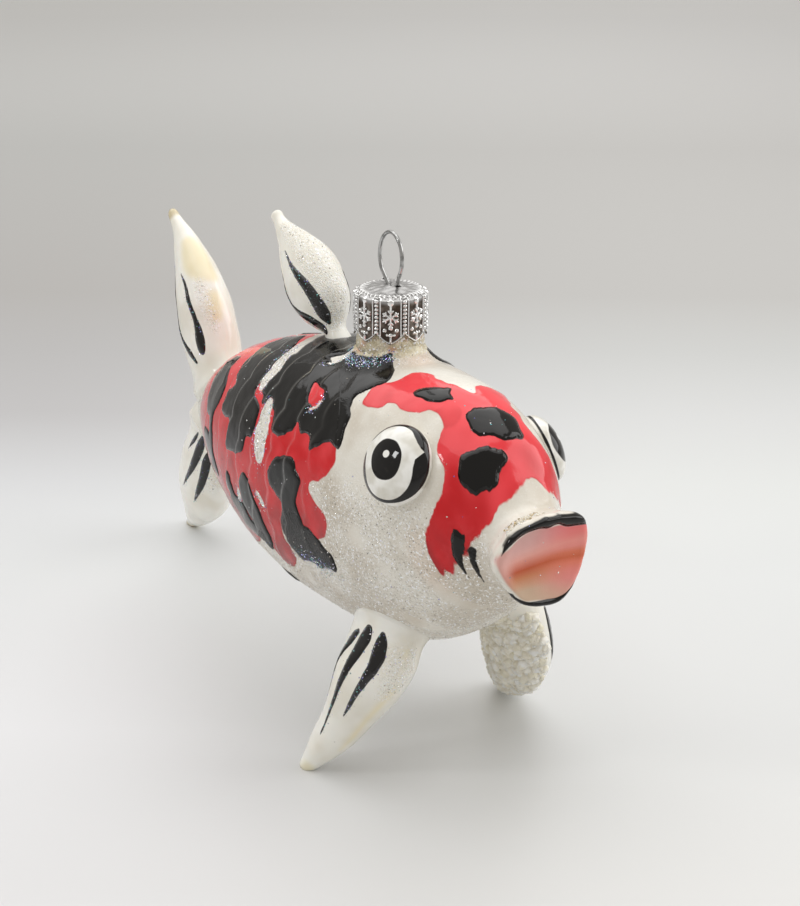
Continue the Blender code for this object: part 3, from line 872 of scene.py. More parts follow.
@dataclass(frozen=True)
class PaperBoard(Finish):
    """Sized paper board: a pale table with painted light and shade that change with the distance beyond the
    fish and from left to right; it gives back a faint soft reflection.
    """

    name: str = "sized_paper_board"
    # (distance beyond the fish in metres, painted shade) at the left and right: painted light and shade that
    # even out how the light falls off
    left: tuple[tuple[float, str], ...] = (
        (-0.25, "#D7D7D8"), (-0.07, "#D7D7D8"), (-0.03, "#E2E3E5"), (0.03, "#D9DBDC"), (0.08, "#C7C8CA"),
        (0.125, "#B1B0B1"), (0.18, "#AAA9A9"), (0.24, "#A6A4A2"), (0.5, "#B1B1AF"), (1.28, "#F5F5F4"))
    right: tuple[tuple[float, str], ...] = (
        (-0.25, "#D8D8D7"), (-0.07, "#D8D8D7"), (-0.03, "#D2D3D3"), (0.03, "#D5D7D7"), (0.08, "#D1D3D2"),
        (0.125, "#C9CACA"), (0.18, "#BCBDBC"), (0.24, "#B3B2B0"), (0.5, "#BBBAB8"), (1.28, "#FFFFFF"))
    spread: float = 0.24  # the share of the distance at which the left and right shades are reached
    looks: tuple[float, float, float] = (0.511, 0.86, 0.0)
    across: tuple[float, float, float] = (0.86, -0.511, 0.0)

    def inputs(self, node: Add, place: Socket) -> dict[str, Value]:
        """Paints shade on the board a little beyond the fish, lighter again far off, and lighter on the
        right.

        Args:
            node: adds a node to the material.
            place: the place on the piece.

        Returns:
            The shader's inputs by name.
        """
        away = node("ShaderNodeVectorMath", place, self.looks, operation="DOT_PRODUCT", output="Value")
        aside = node("ShaderNodeVectorMath", place, self.across, operation="DOT_PRODUCT", output="Value")
        low, high = self.left[0][0], self.left[-1][0]
        share = node("ShaderNodeMapRange", away, low, high)
        shades = []
        for side in (self.left, self.right):
            stops = [((distance - low) / (high - low), tint) for distance, tint in side]
            shades.append(node("ShaderNodeValToRGB", share, stops=stops))
        fan = node(Kind.MATH, aside, node(Kind.MATH, away, -low, operation="ADD"), operation="DIVIDE")
        shade = node(Kind.BLEND, node(Kind.RAMP, fan, -self.spread, self.spread), *shades)
        return {"Base Color": shade, "Roughness": 0.42,
                "Normal": node(Kind.BUMP, node(Kind.NOISE, place, per_metre(1.5)), 0.01 * MM)}


# ---- shells ----

def finish_mesh(name: str, mesh: bpy.types.Mesh, finish: Finish,
                replaces: Sequence[str] = ()) -> bpy.types.Object:
    """Puts a finished mesh in the scene on the ornament's one body.

    Args:
        name: the piece's name.
        mesh: its mesh, in the frame's metres.
        finish: its finish.
        replaces: the solids that the piece stands for.

    Returns:
        The new object.
    """
    piece = bpy.data.objects.new(name, mesh)
    bpy.context.scene.collection.objects.link(piece)
    if not mesh.materials:
        mesh.materials.append(finish.material())
    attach(piece, ROOT_BODY)
    if replaces:
        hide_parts(*replaces)
    LOG.info("%s: %d faces", name, len(mesh.polygons))
    return piece


def store(mesh: bpy.types.Mesh, name: str, values: Array) -> None:
    """Keeps one value for each vertex on a mesh."""
    mesh.attributes.new(name, "FLOAT", "POINT").data.foreach_set("value", values.astype(np.float32).ravel())


@dataclass(kw_only=True)
class Shell:
    """A closed blown form laid out as rings from one pole to the other, each with the same spokes."""

    rings: int
    spokes: int
    points: Array = field(init=False)  # rings + 1 by spokes by 3, in drawn millimetres

    def shares(self) -> Array:
        """The share of the way from the first pole for each ring."""
        return np.linspace(0.0, 1.0, self.rings + 1)

    def turns(self) -> Array:
        """The angle of each spoke."""
        return np.arange(self.spokes) * 2 * math.pi / self.spokes

    def normals(self) -> Array:
        """Works out the way that the skin faces at each grid point.

        Returns:
            Unit normals that point out.
        """
        cells = self.cells()
        normal = cells / np.maximum(np.linalg.norm(cells, axis=2, keepdims=True), 1e-9)
        for pole, near in ((0, 1), (-1, -2)):
            mean = normal[near].mean(0)
            normal[pole] = mean / max(np.linalg.norm(mean), 1e-9)
        inward = np.sum((self.points - self.points.mean((0, 1))) * normal) < 0
        return -normal if inward else normal

    def cells(self) -> Array:
        """The cell round each grid point as a vector across it, as long as its area in square millimetres."""
        around = (np.roll(self.points, -1, axis=1) - np.roll(self.points, 1, axis=1)) / 2
        return np.cross(around, np.gradient(self.points, axis=0))

    def mesh(self, name: str, marks: dict[str, Array]) -> bpy.types.Mesh:
        """Shapes a ball of rings and spokes into the form.

        Args:
            name: the mesh's name.
            marks: values to keep for each grid point.

        Returns:
            The smooth, closed mesh in the frame's metres.
        """
        ball = bmesh.new()
        bmesh.ops.create_uvsphere(ball, u_segments=self.spokes, v_segments=self.rings, radius=1.0)
        place = np.array([vert.co for vert in ball.verts])
        ring = np.rint(np.arccos(np.clip(-place[:, 2], -1, 1)) / math.pi * self.rings).astype(int)
        spoke = np.rint(np.arctan2(place[:, 1], place[:, 0]) / (2 * math.pi) * self.spokes).astype(int)
        spoke %= self.spokes
        for vert, drawn in zip(ball.verts, self.points[ring, spoke]):
            vert.co = drawn
        mesh = settled(name, ball)
        for key, values in marks.items():
            store(mesh, key, np.broadcast_to(values, (self.rings + 1, self.spokes))[ring, spoke])
        return mesh


def settled(name: str, shape: bmesh.types.BMesh, place: Sequence[float] = (0.0, 0.0, 0.0)) -> bpy.types.Mesh:
    """Turns a shape drawn in millimetres into a smooth mesh in the frame, and frees it.

    Args:
        name: the mesh's name.
        shape: the shape, about its own origin.
        place: where its origin lies, in drawn millimetres.

    Returns:
        The mesh, with its faces turned out, judged by the volume that they hold.
    """
    bmesh.ops.translate(shape, vec=Vector(place) + Vector((0, SHIFT_Y, 0)), verts=shape.verts)
    bmesh.ops.scale(shape, vec=(MM, MM, MM), verts=shape.verts)
    if shape.calc_volume(signed=True) < 0:
        bmesh.ops.reverse_faces(shape, faces=shape.faces)
    mesh = bpy.data.meshes.new(name)
    shape.to_mesh(mesh)
    shape.free()
    mesh.shade_smooth()
    return mesh


def body_at(y: Array) -> tuple[Array, Array, Array]:
    """The glass body's half width, top and bottom along the fish."""
    table = np.array(BODY_STATIONS)
    return tuple(smooth_value(table[:, 0], table[:, k], y) for k in (1, 2, 3))


def body_gap(points: Array) -> Array:
    """Roughly how far points lie outside the glass body, negative inside.

    Args:
        points: places in drawn millimetres, in the last axis.

    Returns:
        The distance in millimetres.
    """
    wide, top, bottom = body_at(points[..., 1])
    half = (top - bottom) / 2
    across = points[..., 0] / wide
    up = (points[..., 2] - (top + bottom) / 2) / half
    level = (np.abs(across) ** BODY_POWER + np.abs(up) ** BODY_POWER) ** (1 / BODY_POWER)
    steep = np.hypot(across / wide, up / half) / np.maximum(np.hypot(across, up), 1e-6)
    return (level - 1.0) / np.maximum(steep, 1e-6)


@dataclass
class Body(Shell):
    """The fish's skin: head, lips, trunk and tail stalk blown as one bubble, with its painted marks."""

    rings: int = 340
    spokes: int = 276
    enamel_height: float = 0.24
    scale_length: float = 6.2  # the moulded scales
    scale_height: float = 7.2
    scale_relief: float = 0.34
    rim_path: float = 8.2  # how far the lips' front reaches along the skin, from the bowl's middle
    fillet_end: float = 8.7  # the fillet's foot, from the neck's axis
    fillet_radius: float = 3.3
    bare_glass: float = 5.8  # the enamel stops this far from the neck's axis
    finish: Finish = BodyLacquer()
    along: Array = field(init=False)  # y of each ring
    path: Array = field(init=False)  # how far each ring lies from the middle of the mouth's bowl
    lips: Array = field(init=False)  # how much of the lips' own outline each ring has
    around: Array = field(init=False)  # v of each grid point
    from_neck: Array = field(init=False)  # distance of each grid point from the neck's axis
    crust: Array = field(init=False)  # how thick the crushed glass lies above the upper lip
    marks: dict[str, Array] = field(init=False)

    def __post_init__(self) -> None:
        """Shapes the bubble, then lays the marks and their height on it."""
        self.shape()
        self.paint()
        self.raise_relief()

    def shape(self) -> None:
        """Sets the rings from the bowl of the mouth to the tail's end."""
        table = np.array((*LIP_STATIONS, *BODY_STATIONS))
        keys = np.concatenate([[0.0], np.cumsum(np.hypot(np.diff(table[:, 0]), np.diff(table[:, 1])))])
        path = self.shares() * keys[-1]
        y = smooth_value(keys, table[:, 0], path)
        wide, top, bottom = (smooth_value(keys, table[:, k], path) for k in (1, 2, 3))
        # The tail's end closes as a dome.
        end = table[-1, 0]
        into = np.clip((y - end + TAIL_ROUND) / TAIL_ROUND, 0.0, 1.0)
        close = np.cos(into * math.pi / 2)
        y = np.where(into > 0, end - TAIL_ROUND + TAIL_ROUND * np.sin(into * math.pi / 2), y)
        wide_end, top_end, bottom_end = body_at(y)
        wide = np.where(into > 0, wide_end * close, wide)
        middle = np.where(into > 0, (top_end + bottom_end) / 2, (top + bottom) / 2)
        half = np.where(into > 0, (top_end - bottom_end) / 2 * close, (top - bottom) / 2)
        lips = 1.0 - ease(path, keys[LIP_RIM], keys[len(LIP_STATIONS)])
        turn = self.turns()[None]
        side = -squared(np.sin(turn), 2.0 / BODY_POWER)
        rise = squared(np.cos(turn), 2.0 / BODY_POWER)
        # The pressed mouth keeps its own outline until the snout's waist.
        compass = np.degrees(np.arctan2(np.cos(turn), -np.sin(turn)))
        reach = np.interp(compass, *np.array(LIP_OUTLINE).T) / LIP_REACH
        share = lips[:, None]
        x = wide[:, None] * (side * (1 - share) - np.sin(turn) * reach * share) + LIP_CENTRE[0] * share
        z = (middle * (1 - lips) + LIP_CENTRE[1] * lips)[:, None] + half[:, None] * (
            rise * (1 - share) + np.cos(turn) * reach * share)
        self.points = np.stack([x, np.broadcast_to(y[:, None], x.shape), z], axis=2)
        self.path, self.lips, self.along = path, lips, y
        steps = np.linalg.norm(np.roll(self.points, -1, axis=1) - self.points, axis=2)
        walk = np.cumsum(steps, axis=1) - steps
        total = steps.sum(1, keepdims=True)
        self.around = np.where(turn <= math.pi, walk, walk - total)
        # The skin rises in a soft fillet to the neck that was drawn out of it.
        self.from_neck = np.hypot(self.points[..., 0], self.points[..., 1] - NECK_Y)
        self.from_neck = np.where(self.points[..., 2] > middle[:, None], self.from_neck, np.inf)
        reach = self.fillet_radius
        into = np.clip(self.fillet_end - self.from_neck, 0.0, reach * 0.96)
        self.points[..., 2] += reach - np.sqrt(reach ** 2 - into ** 2)

    def paint(self) -> None:
        """Works out every painted mark's depth on the grid."""
        size = self.around.shape
        ahead_of_fish = -60.0  # the lips are kept off the chart of the marks
        y = np.where(self.lips > 0.5, ahead_of_fish, self.along).repeat(size[1])
        v = self.around.ravel()
        at = np.stack([y, v], axis=1)
        wobble = 0.22 * ripple(y, v, 3.2, 11) + 0.1 * ripple(y, v, 1.1, 12)
        moved = at + np.stack([wobble, 0.22 * ripple(y, v, 3.0, 13)], axis=1)

        def both(marks: Sequence[Mark]) -> tuple[Mark, ...]:
            """The right side's marks and the left side's own version of them."""
            return (*marks, *(mark.mirrored(LEFT_AHEAD, LEFT_STRETCH) for mark in marks))

        red = deepest((HEAD_RED, *both((FLANK_RED,))), moved)
        black = deepest((*BROW_SPOTS, *CHEEK_COMMAS, *both(FLANK_BLACK)), moved)
        white = deepest(both(WHITE_STROKES), moved)
        window = deepest(both((SADDLE_WINDOW, BRIDGE_WINDOW)), moved)
        overlap = deepest((HEAD_RED_OVERLAP,), moved)
        black = np.minimum(black, -window)
        black = np.where(white > -0.3, np.minimum(black, -white), black)
        neck = self.from_neck.ravel()
        black = held(np.minimum(black, neck - self.bare_glass + 0.15 * ripple(y, v, 2.6, 33)))
        girth = np.maximum(np.abs(self.around).max(1), 1e-3).repeat(size[1])
        low = np.abs(v) / girth
        frost = ease(low, 0.3, 0.46) * (1.0 - 0.5 * ease(y, 20.0, 60.0))
        frost = np.maximum(frost * ease(ripple(y, v, 9.0, 21), -1.2, -0.2), 0.12)
        frost = np.maximum(frost, 0.55 * ease(neck, 9.5, 6.5))
        frost = frost * (1.0 - ease(red, 0.1, 0.6) * 0.85) * (1.0 - self.lips.repeat(size[1]) * 0.9)
        peach = 0.35 * ease(np.hypot((y + 21.0) / 4.0, (v - 25.0) / 6.0), 1.1, 0.4)
        peach = np.maximum(peach, 0.6 * ease(np.hypot((y - 4.0) / 5.0, (v + 1.0) / 4.0), 1.2, 0.3))
        normal = self.normals().reshape(-1, 3)
        # painted light on the red lacquer: lighter where the skin faces up, painted shade where it faces
        # down; darker where two coats overlap
        tone = 0.36 + 0.68 * normal[:, 2] + 0.14 * ripple(y, v, 5.0, 31)
        tone = tone - 0.22 * ease(overlap, -0.2, 0.3)
        gold = ease(neck + 0.25 * ripple(y, v, 2.4, 32), 6.7, 5.9)
        flat = {"red": red, "black": black, "white": white, "frost": frost, "peach": peach, "tone": tone,
                "gold": gold}
        self.marks = {key: mark.reshape(size) for key, mark in flat.items()} | self.mouth_marks()

    def mouth_marks(self) -> dict[str, Array]:
        """Paints the mouth: its pink, its level streaks, the two black lip lines and the crust above them.

        Returns:
            Each mark by name, on the grid.
        """
        x, z = self.points[..., 0], self.points[..., 2]
        flat = np.stack([x.ravel(), z.ravel()], axis=1)
        behind = np.repeat(np.maximum(self.path - self.rim_path, 0.0), self.spokes)
        near = behind < DEPTH_LIMIT
        pink = np.full(len(flat), -DEPTH_LIMIT)
        pink[near] = outline_depth(rounded(MOUTH_PINK, closed=True), flat[near]) - behind[near]
        pink = pink + 0.08 * ripple(flat[:, 0], flat[:, 1], 4.0, 41)
        lines = np.full(len(flat), -DEPTH_LIMIT)
        for line in (UPPER_LIP, LOWER_LIP):
            depth = stroke_depth(rounded(line, closed=False), flat[near]) - 0.8 * behind[near]
            lines[near] = np.maximum(lines[near], depth)
        fan = 4.2 + 0.16 * (x + 8.0)
        streak = 0.5 + 0.5 * (z - 47.1 - 0.02 * x + 0.12 * ripple(x, z, 7.0, 42)) / fan
        past_rim = self.path[:, None] - self.rim_path
        crust = ease(np.abs(x + 3.0), 3.4, 1.2) * ease(np.abs(past_rim - 0.9), 1.3, 0.3) * (z > 50.0)
        self.crust = crust * ease(ripple(x, past_rim, 1.6, 43), -0.9, 0.4)
        return {"pink": held(pink).reshape(x.shape), "streak": streak, "to_left": ease(x, -4.0, 5.0),
                "to_corner": 0.75 * ease(x, -5.2, -7.8), "lip_line": held(lines).reshape(x.shape)}

    def raise_relief(self) -> None:
        """Lifts the moulded scales and the thick enamel off the glass."""
        self.marks["black"] = np.maximum(self.marks["black"], self.marks.pop("lip_line"))
        y = np.broadcast_to(self.along[:, None], self.around.shape)
        scales, ridge = self.scales(y, self.around)
        # The scales fade out towards the neck, the tail and the belly.
        shown = ease(y, 2.0, 12.0) * ease(y, 74.0, 64.0) * ease(np.abs(self.around), 52.0, 44.0)
        thick = ease(self.marks["black"], -0.10, 0.75)
        lift = self.scale_relief * shown * scales + self.enamel_height * thick
        lift = lift + 0.07 * ease(self.marks["red"], -0.1, 0.5) * (1 - thick)
        lift = lift + 0.05 * ripple(y, self.around, 7.0, 51) * thick
        # the scales' free edges, where the black enamel gets a painted highlight
        self.marks["ridge"] = ridge * shown
        self.points = self.points + self.normals() * lift[..., None]

    def scales(self, y: Array, v: Array) -> tuple[Array, Array]:
        """The moulded scales: rows that overlap towards the tail.

        Args:
            y: distance along the fish.
            v: distance round the body.

        Returns:
            The scales' height, and how close each place is to a scale's free edge, both 0 to 1.
        """
        bend = 0.9 * ripple(y, v, 26.0, 61)
        row = (y + bend) / self.scale_length
        height = np.zeros_like(y)
        free = np.zeros_like(y)
        first = np.full_like(y, 1e9)
        for step in range(-2, 2):
            column = np.floor(row) + step
            offset = (column % 2) * 0.5
            line = v / self.scale_height + offset
            across = (line - np.rint(line)) * self.scale_height
            ahead = (row - column) * self.scale_length
            span = 1.12 * self.scale_length
            edge = span - 1.25 * (np.abs(across) / (self.scale_height / 2)) ** 2.2 - ahead
            here = (edge > 0) & (ahead > -0.6 * self.scale_length) & (column < first)
            first = np.where(here, column, first)
            height = np.where(here, np.clip(ahead / span, 0, 1) * ease(edge, 0.0, 0.9), height)
            free = np.where(here, ease(edge, 1.7, 0.2), free)
        return height, free

    def build(self) -> bpy.types.Object:
        """Makes the skin's mesh in place of the body's solids."""
        return finish_mesh("koi_skin", self.mesh("koi_skin", self.marks), self.finish,
                           ("head", "mouth", "trunk", "tail_stalk"))


# ---- fins ----

class FinPlace(Enum):
    """The fins, by the solid that each stands for."""

    DORSAL = "dorsal_fin"
    TAIL_UPPER = "tail_fin_upper"
    TAIL_LOWER = "tail_fin_lower"
    PECTORAL_RIGHT = "pectoral_fin_right"
    PECTORAL_LEFT = "pectoral_fin_left"


@dataclass(frozen=True)
class FinPlan:
    """One fin's form and its strokes.

    The spine is four points of a curve, and the section is (share of the length, half thickness, half width).
    A stroke's points are (share of the length, degrees round the section, half width). Zero degrees faces the
    section's thick side and 90 its wide edge towards the tail.
    """

    place: FinPlace
    spine: Points
    section: Points
    strokes: tuple[Points, ...]
    frost: tuple[Points, ...] = ()
    tint: tuple[Points, ...] = ()
    tip_tan: float = 0.04
    flare: float = 1.5


def bezier(points: Points, t: Array) -> Array:
    """Follows the curve of a start, two handles and an end.

    Args:
        points: the four points.
        t: shares of the way, 0 to 1.

    Returns:
        The curve's points, one row each.
    """
    a, b, c, d = (np.array(p, float) for p in points)
    t = t[:, None]
    u = 1.0 - t
    return a * u ** 3 + 3 * b * u ** 2 * t + 3 * c * u * t ** 2 + d * t ** 3


@dataclass(kw_only=True)
class Fin(Shell):
    """A hollow-blown fin: an oval section carried along a bent spine and fused to the body."""

    plan: FinPlan
    rings: int = 150
    spokes: int = 116
    knob: float = 0.025  # the share of the length over which the tip closes
    enamel_height: float = 0.16
    floor: float = 0.0
    finish: Finish = FinLacquer()
    marks: dict[str, Array] = field(init=False)

    def __post_init__(self) -> None:
        """Shapes the fin and works out its marks."""
        share = self.shares()
        spine, thick, wide, half_thick, half_wide = self.section_at(share)
        turn = self.turns()[None, :, None]
        # The tip closes as a small round knob.
        closing = np.sqrt(1.0 - ((share - 1.0 + self.knob) / self.knob).clip(0, 1) ** 2) * (share > 0)
        self.points = (spine[:, None] + thick[:, None] * (half_thick * closing)[:, None, None] * np.cos(turn)
                       + wide[:, None] * (half_wide * closing)[:, None, None] * np.sin(turn))
        flat = self.points.reshape(-1, 3).copy()
        out = self.normals()
        # The glass flares where it is fused to the body.
        gap = np.maximum(body_gap(self.points), 0.0)
        self.points = self.points + out * (self.plan.flare * np.exp(-(gap / 1.25) ** 1.3))[..., None]
        wave = 0.12 * ripple(self.points[..., 2], self.points[..., 1] + self.points[..., 0], 9.0, 71)
        self.points = self.points + out * wave[..., None]
        self.points[..., 2] = np.maximum(self.points[..., 2], self.floor)
        wobble = 0.05 * ripple(flat[:, 1] + flat[:, 0], flat[:, 2], 2.4, 72)

        def joined(strokes: tuple[Points, ...]) -> Array:
            """Joins strokes to one mark.

            Args:
                strokes: the strokes, each from a knob's foot.

            Returns:
                The depth inside the deepest of them, at each grid point.
            """
            depths = [stroke_depth(rounded(self.placed(stroke), closed=False), flat) for stroke in strokes]
            depth = np.max([np.full(len(flat), -DEPTH_LIMIT), *depths], axis=0)
            return (depth + wobble).reshape(self.points.shape[:2])

        black = joined(self.plan.strokes)
        tan = ease(share, 1.0 - self.plan.tip_tan * 2.2, 1.0 - self.plan.tip_tan)
        self.marks = {"black": black, "frost": ease(joined(self.plan.frost), -1.6, 0.6),
                      "tint": ease(joined(self.plan.tint), -2.2, 0.8), "tan": tan[:, None]}
        self.points = self.points + self.normals() * (self.enamel_height * ease(black, -0.1, 0.5))[..., None]
        self.points[..., 2] = np.maximum(self.points[..., 2], self.floor)

    def section_at(self, share: Array) -> tuple[Array, ...]:
        """Reads the fin's section along its length.

        Args:
            share: shares of the length, 0 at the body.

        Returns:
            The spine's points, the section's thin and wide directions, and its two half sizes.
        """
        plan = self.plan
        step = 1e-3
        after, before = np.minimum(share + step, 1), np.maximum(share - step, 0)
        ahead = bezier(plan.spine, after) - bezier(plan.spine, before)
        ahead = ahead / np.linalg.norm(ahead, axis=1, keepdims=True)
        wide = np.array((0.0, 1.0, 0.0)) - ahead * ahead[:, 1:2]
        wide = wide / np.linalg.norm(wide, axis=1, keepdims=True)
        thick = np.cross(ahead, wide)
        table = np.array(plan.section)
        return (bezier(plan.spine, share), thick, wide, smooth_value(table[:, 0], table[:, 1], share),
                smooth_value(table[:, 0], table[:, 2], share))

    def placed(self, stroke: Points) -> Array:
        """Finds a stroke's points on the fin.

        Args:
            stroke: its (share of the length, degrees, half width) rows.

        Returns:
            Rows of a place and the half width there.
        """
        share, degrees, half = np.array(stroke, float).T
        spine, thick, wide, half_thick, half_wide = self.section_at(share)
        turn = np.radians(degrees)
        aside, upward = half_thick * np.cos(turn), half_wide * np.sin(turn)
        where = spine + thick * aside[:, None] + wide * upward[:, None]
        return np.column_stack([where, half])

    def build(self) -> bpy.types.Object:
        """Makes the fin's mesh in place of its solid."""
        node = self.plan.place.value
        mesh = self.mesh("fused_" + node, self.marks)
        return finish_mesh("fused_" + node, mesh, self.finish, (node,))


FINS = (
    FinPlan(
        FinPlace.DORSAL,
        spine=((0, 23, 56), (0, 29.5, 70), (0, 39.5, 72.5), (0, 50.8, 80.2)),
        section=((0, 1.7, 1.8), (0.2, 1.7, 1.8), (0.25, 1.9, 2), (0.31, 3.2, 3.9), (0.39, 4.35, 5.7),
                 (0.55, 4.7, 6.5), (0.75, 3.2, 4.4),
                 (0.9, 1.5, 1.8), (0.95, 1.05, 1.2), (1, 1.15, 1.25)),
        strokes=(
            ((0.71, -23, 0.1), (0.62, -21, 0.36), (0.54, -25, 0.6), (0.465, -31, 0.85), (0.395, -35, 1.05),
             (0.34, -37, 1.2), (0.3, -38, 1.15), (0.265, -43, 0.4)),
            ((0.675, 19, 0.1), (0.595, 24, 0.35), (0.53, 30, 0.62), (0.455, 33, 0.8), (0.35, 17, 0.95),
             (0.28, 7, 1), (0.235, -3, 0.35)),
            ((0.495, -134, 0.12), (0.455, -137, 0.28), (0.405, -140, 0.34), (0.35, -142, 0.12)),
            ((0.64, -168, 0.1), (0.52, -164, 0.5), (0.4, -164, 0.8), (0.3, -166, 0.3)),
        ),
        frost=(((0.86, -70, 1), (0.66, -74, 2.4), (0.5, -76, 3.2), (0.36, -78, 3), (0.27, -76, 1.4)),),
        tip_tan=0.001, flare=0.5),
    FinPlan(
        FinPlace.TAIL_UPPER,
        spine=((0, 76, 36), (0, 83, 44), (0, 83, 60), (0, 100.2, 70.8)),
        section=((0, 3.6, 4), (0.2, 5, 6.2), (0.42, 5.6, 7.6), (0.62, 4.9, 6.6), (0.82, 2.8, 3.7),
                 (0.93, 1.25, 1.55), (1, 1, 1.1)),
        strokes=(
            ((0.69, -21, 0.1), (0.635, -29, 0.36), (0.57, -31, 0.5), (0.505, -35, 0.52), (0.445, -38, 0.75),
             (0.385, -39, 1.12), (0.33, -39, 1), (0.295, -39, 0.25)),
            ((0.76, 17, 0.12), (0.67, 18, 0.26), (0.575, 20, 0.42), (0.475, 20, 0.52), (0.395, 10, 0.62),
             (0.32, -7, 0.78), (0.26, -19, 0.35)),
            ((0.6, 178, 0.1), (0.5, 176, 0.45), (0.4, 176, 0.7), (0.3, 178, 0.2)),
            ((0.52, 150, 0.1), (0.42, 148, 0.4), (0.32, 152, 0.2)),
        ),
        frost=(((0.62, -60, 0.5), (0.52, -66, 1.1), (0.42, -72, 0.6)),),
        tint=(((0.8, -70, 1), (0.74, -70, 2.2), (0.69, -72, 2.2), (0.64, -96, 0.8)),
              ((0.555, -86, 0.4), (0.51, -83, 0.8), (0.465, -80, 0.4))),
        tip_tan=0.03, flare=1.4),
    FinPlan(
        FinPlace.TAIL_LOWER,
        spine=((0, 76, 34), (0, 86, 27), (0, 84, 13), (0, 99, -0.9)),
        section=((0, 3.6, 4), (0.25, 4.8, 6.2), (0.5, 5.6, 8), (0.7, 5.2, 7.4), (0.86, 2.9, 3.9),
                 (0.95, 1.4, 1.7), (1, 1.1, 1.3)),
        strokes=(
            ((0.19, -172, 0.15), (0.28, -178, 0.5), (0.375, 174, 0.1)),
            ((0.18, -158, 0.3), (0.27, -157, 1.1), (0.4, -161, 1), (0.5, -168, 0.65), (0.62, -178, 0.15)),
            ((0.26, -134, 0.3), (0.34, -135, 0.95), (0.46, -137, 0.95), (0.56, -142, 0.65),
             (0.645, -147, 0.12)),
            ((0.19, -8, 0.15), (0.3, -12, 0.9), (0.44, -14, 0.8), (0.6, -4, 0.15)),
            ((0.26, -40, 0.3), (0.38, -40, 0.95), (0.5, -34, 0.6), (0.64, -28, 0.12)),
        ),
        frost=(((0.34, -112, 0.5), (0.5, -116, 0.7)),),
        tint=(((0.95, -90, 0.9), (0.99, 0, 1.2)),),
        tip_tan=0.03, flare=1.4),
    FinPlan(
        FinPlace.PECTORAL_RIGHT,
        spine=((-7, -6.5, 30), (-13.5, -8.1, 17.9), (-15.1, -3.8, 9.1), (-22.1, 0.3, -0.6)),
        section=((0, 4.6, 5.1), (0.22, 4.9, 7.6), (0.38, 5.9, 5.9), (0.6, 4.5, 4.1), (0.8, 3, 3.2),
                 (1.0, 1.05, 1.15)),
        strokes=(
            ((0.185, 164, 0.5), (0.224, 158, 1), (0.288, 153, 0.9), (0.344, 151, 0.6), (0.408, 151, 0.35),
             (0.474, 152, 0.22), (0.609, 152, 0.1)),
            ((0.145, -175, 0.9), (0.18, -176, 1.4), (0.235, -177, 1.3), (0.3, -175, 0.95),
             (0.376, -172, 0.65), (0.504, -170, 0.4), (0.639, -169, 0.24), (0.749, -165, 0.08)),
            ((0.128, -149, 0.45), (0.163, -147, 1.1), (0.205, -145, 1.3), (0.255, -143, 1.05),
             (0.322, -140, 0.75), (0.403, -138, 0.5), (0.494, -137, 0.27), (0.555, -137, 0.08)),
        ),
        frost=(((0.172, -119, 0.9), (0.234, -115, 1.2), (0.302, -105, 1), (0.36, -100, 0.5)),
               ((0.15, -95, 0.6), (0.21, -93, 1), (0.29, -93, 0.5))),
        # the first tint runs along the fin's trailing side: partly the glass's own yellow-tan, partly painted
        # shade where the body shades the fin
        tint=(((0.15, -104, -0.6), (0.34, -92, -0.2), (0.487, -94, -0.2), (0.646, -88, -0.3),
               (0.754, -90, -0.7)),
              ((0.96, -120, 0.5), (1, -120, 0.7))),
        tip_tan=0.005, flare=0.8),
    FinPlan(
        FinPlace.PECTORAL_LEFT,
        spine=((10.5, -6.5, 30), (18, -7.5, 19), (17.4, -3.5, 9), (22.3, 6, -0.6)),
        section=((0, 4.2, 5.6), (0.25, 4.6, 7.2), (0.45, 4.8, 7.6), (0.66, 4.2, 6), (0.84, 2.7, 3.3),
                 (1.0, 1.0, 1.1)),
        strokes=(
            ((0.2, -46, 0.35), (0.24, -48, 0.8), (0.28, -52, 0.95), (0.32, -56, 0.95), (0.36, -60, 0.8),
             (0.41, -63, 0.5), (0.47, -66, 0.08)),
            ((0.19, -26, 0.3), (0.245, -30, 0.6), (0.3, -34, 0.5), (0.38, -40, 0.1)),
            ((0.17, 0, 0.4), (0.25, -2, 1.1), (0.36, 4, 0.8), (0.5, 10, 0.4), (0.64, 12, 0.06)),
            ((0.16, 28, 0.3), (0.24, 32, 1), (0.34, 36, 0.7), (0.46, 34, 0.1)),
        ),
        frost=(((0.2, -110, 1.2), (0.5, -120, 1.6), (0.8, -120, 1)),),
        tip_tan=0.005, flare=1.5),
)


# ---- eyes ----

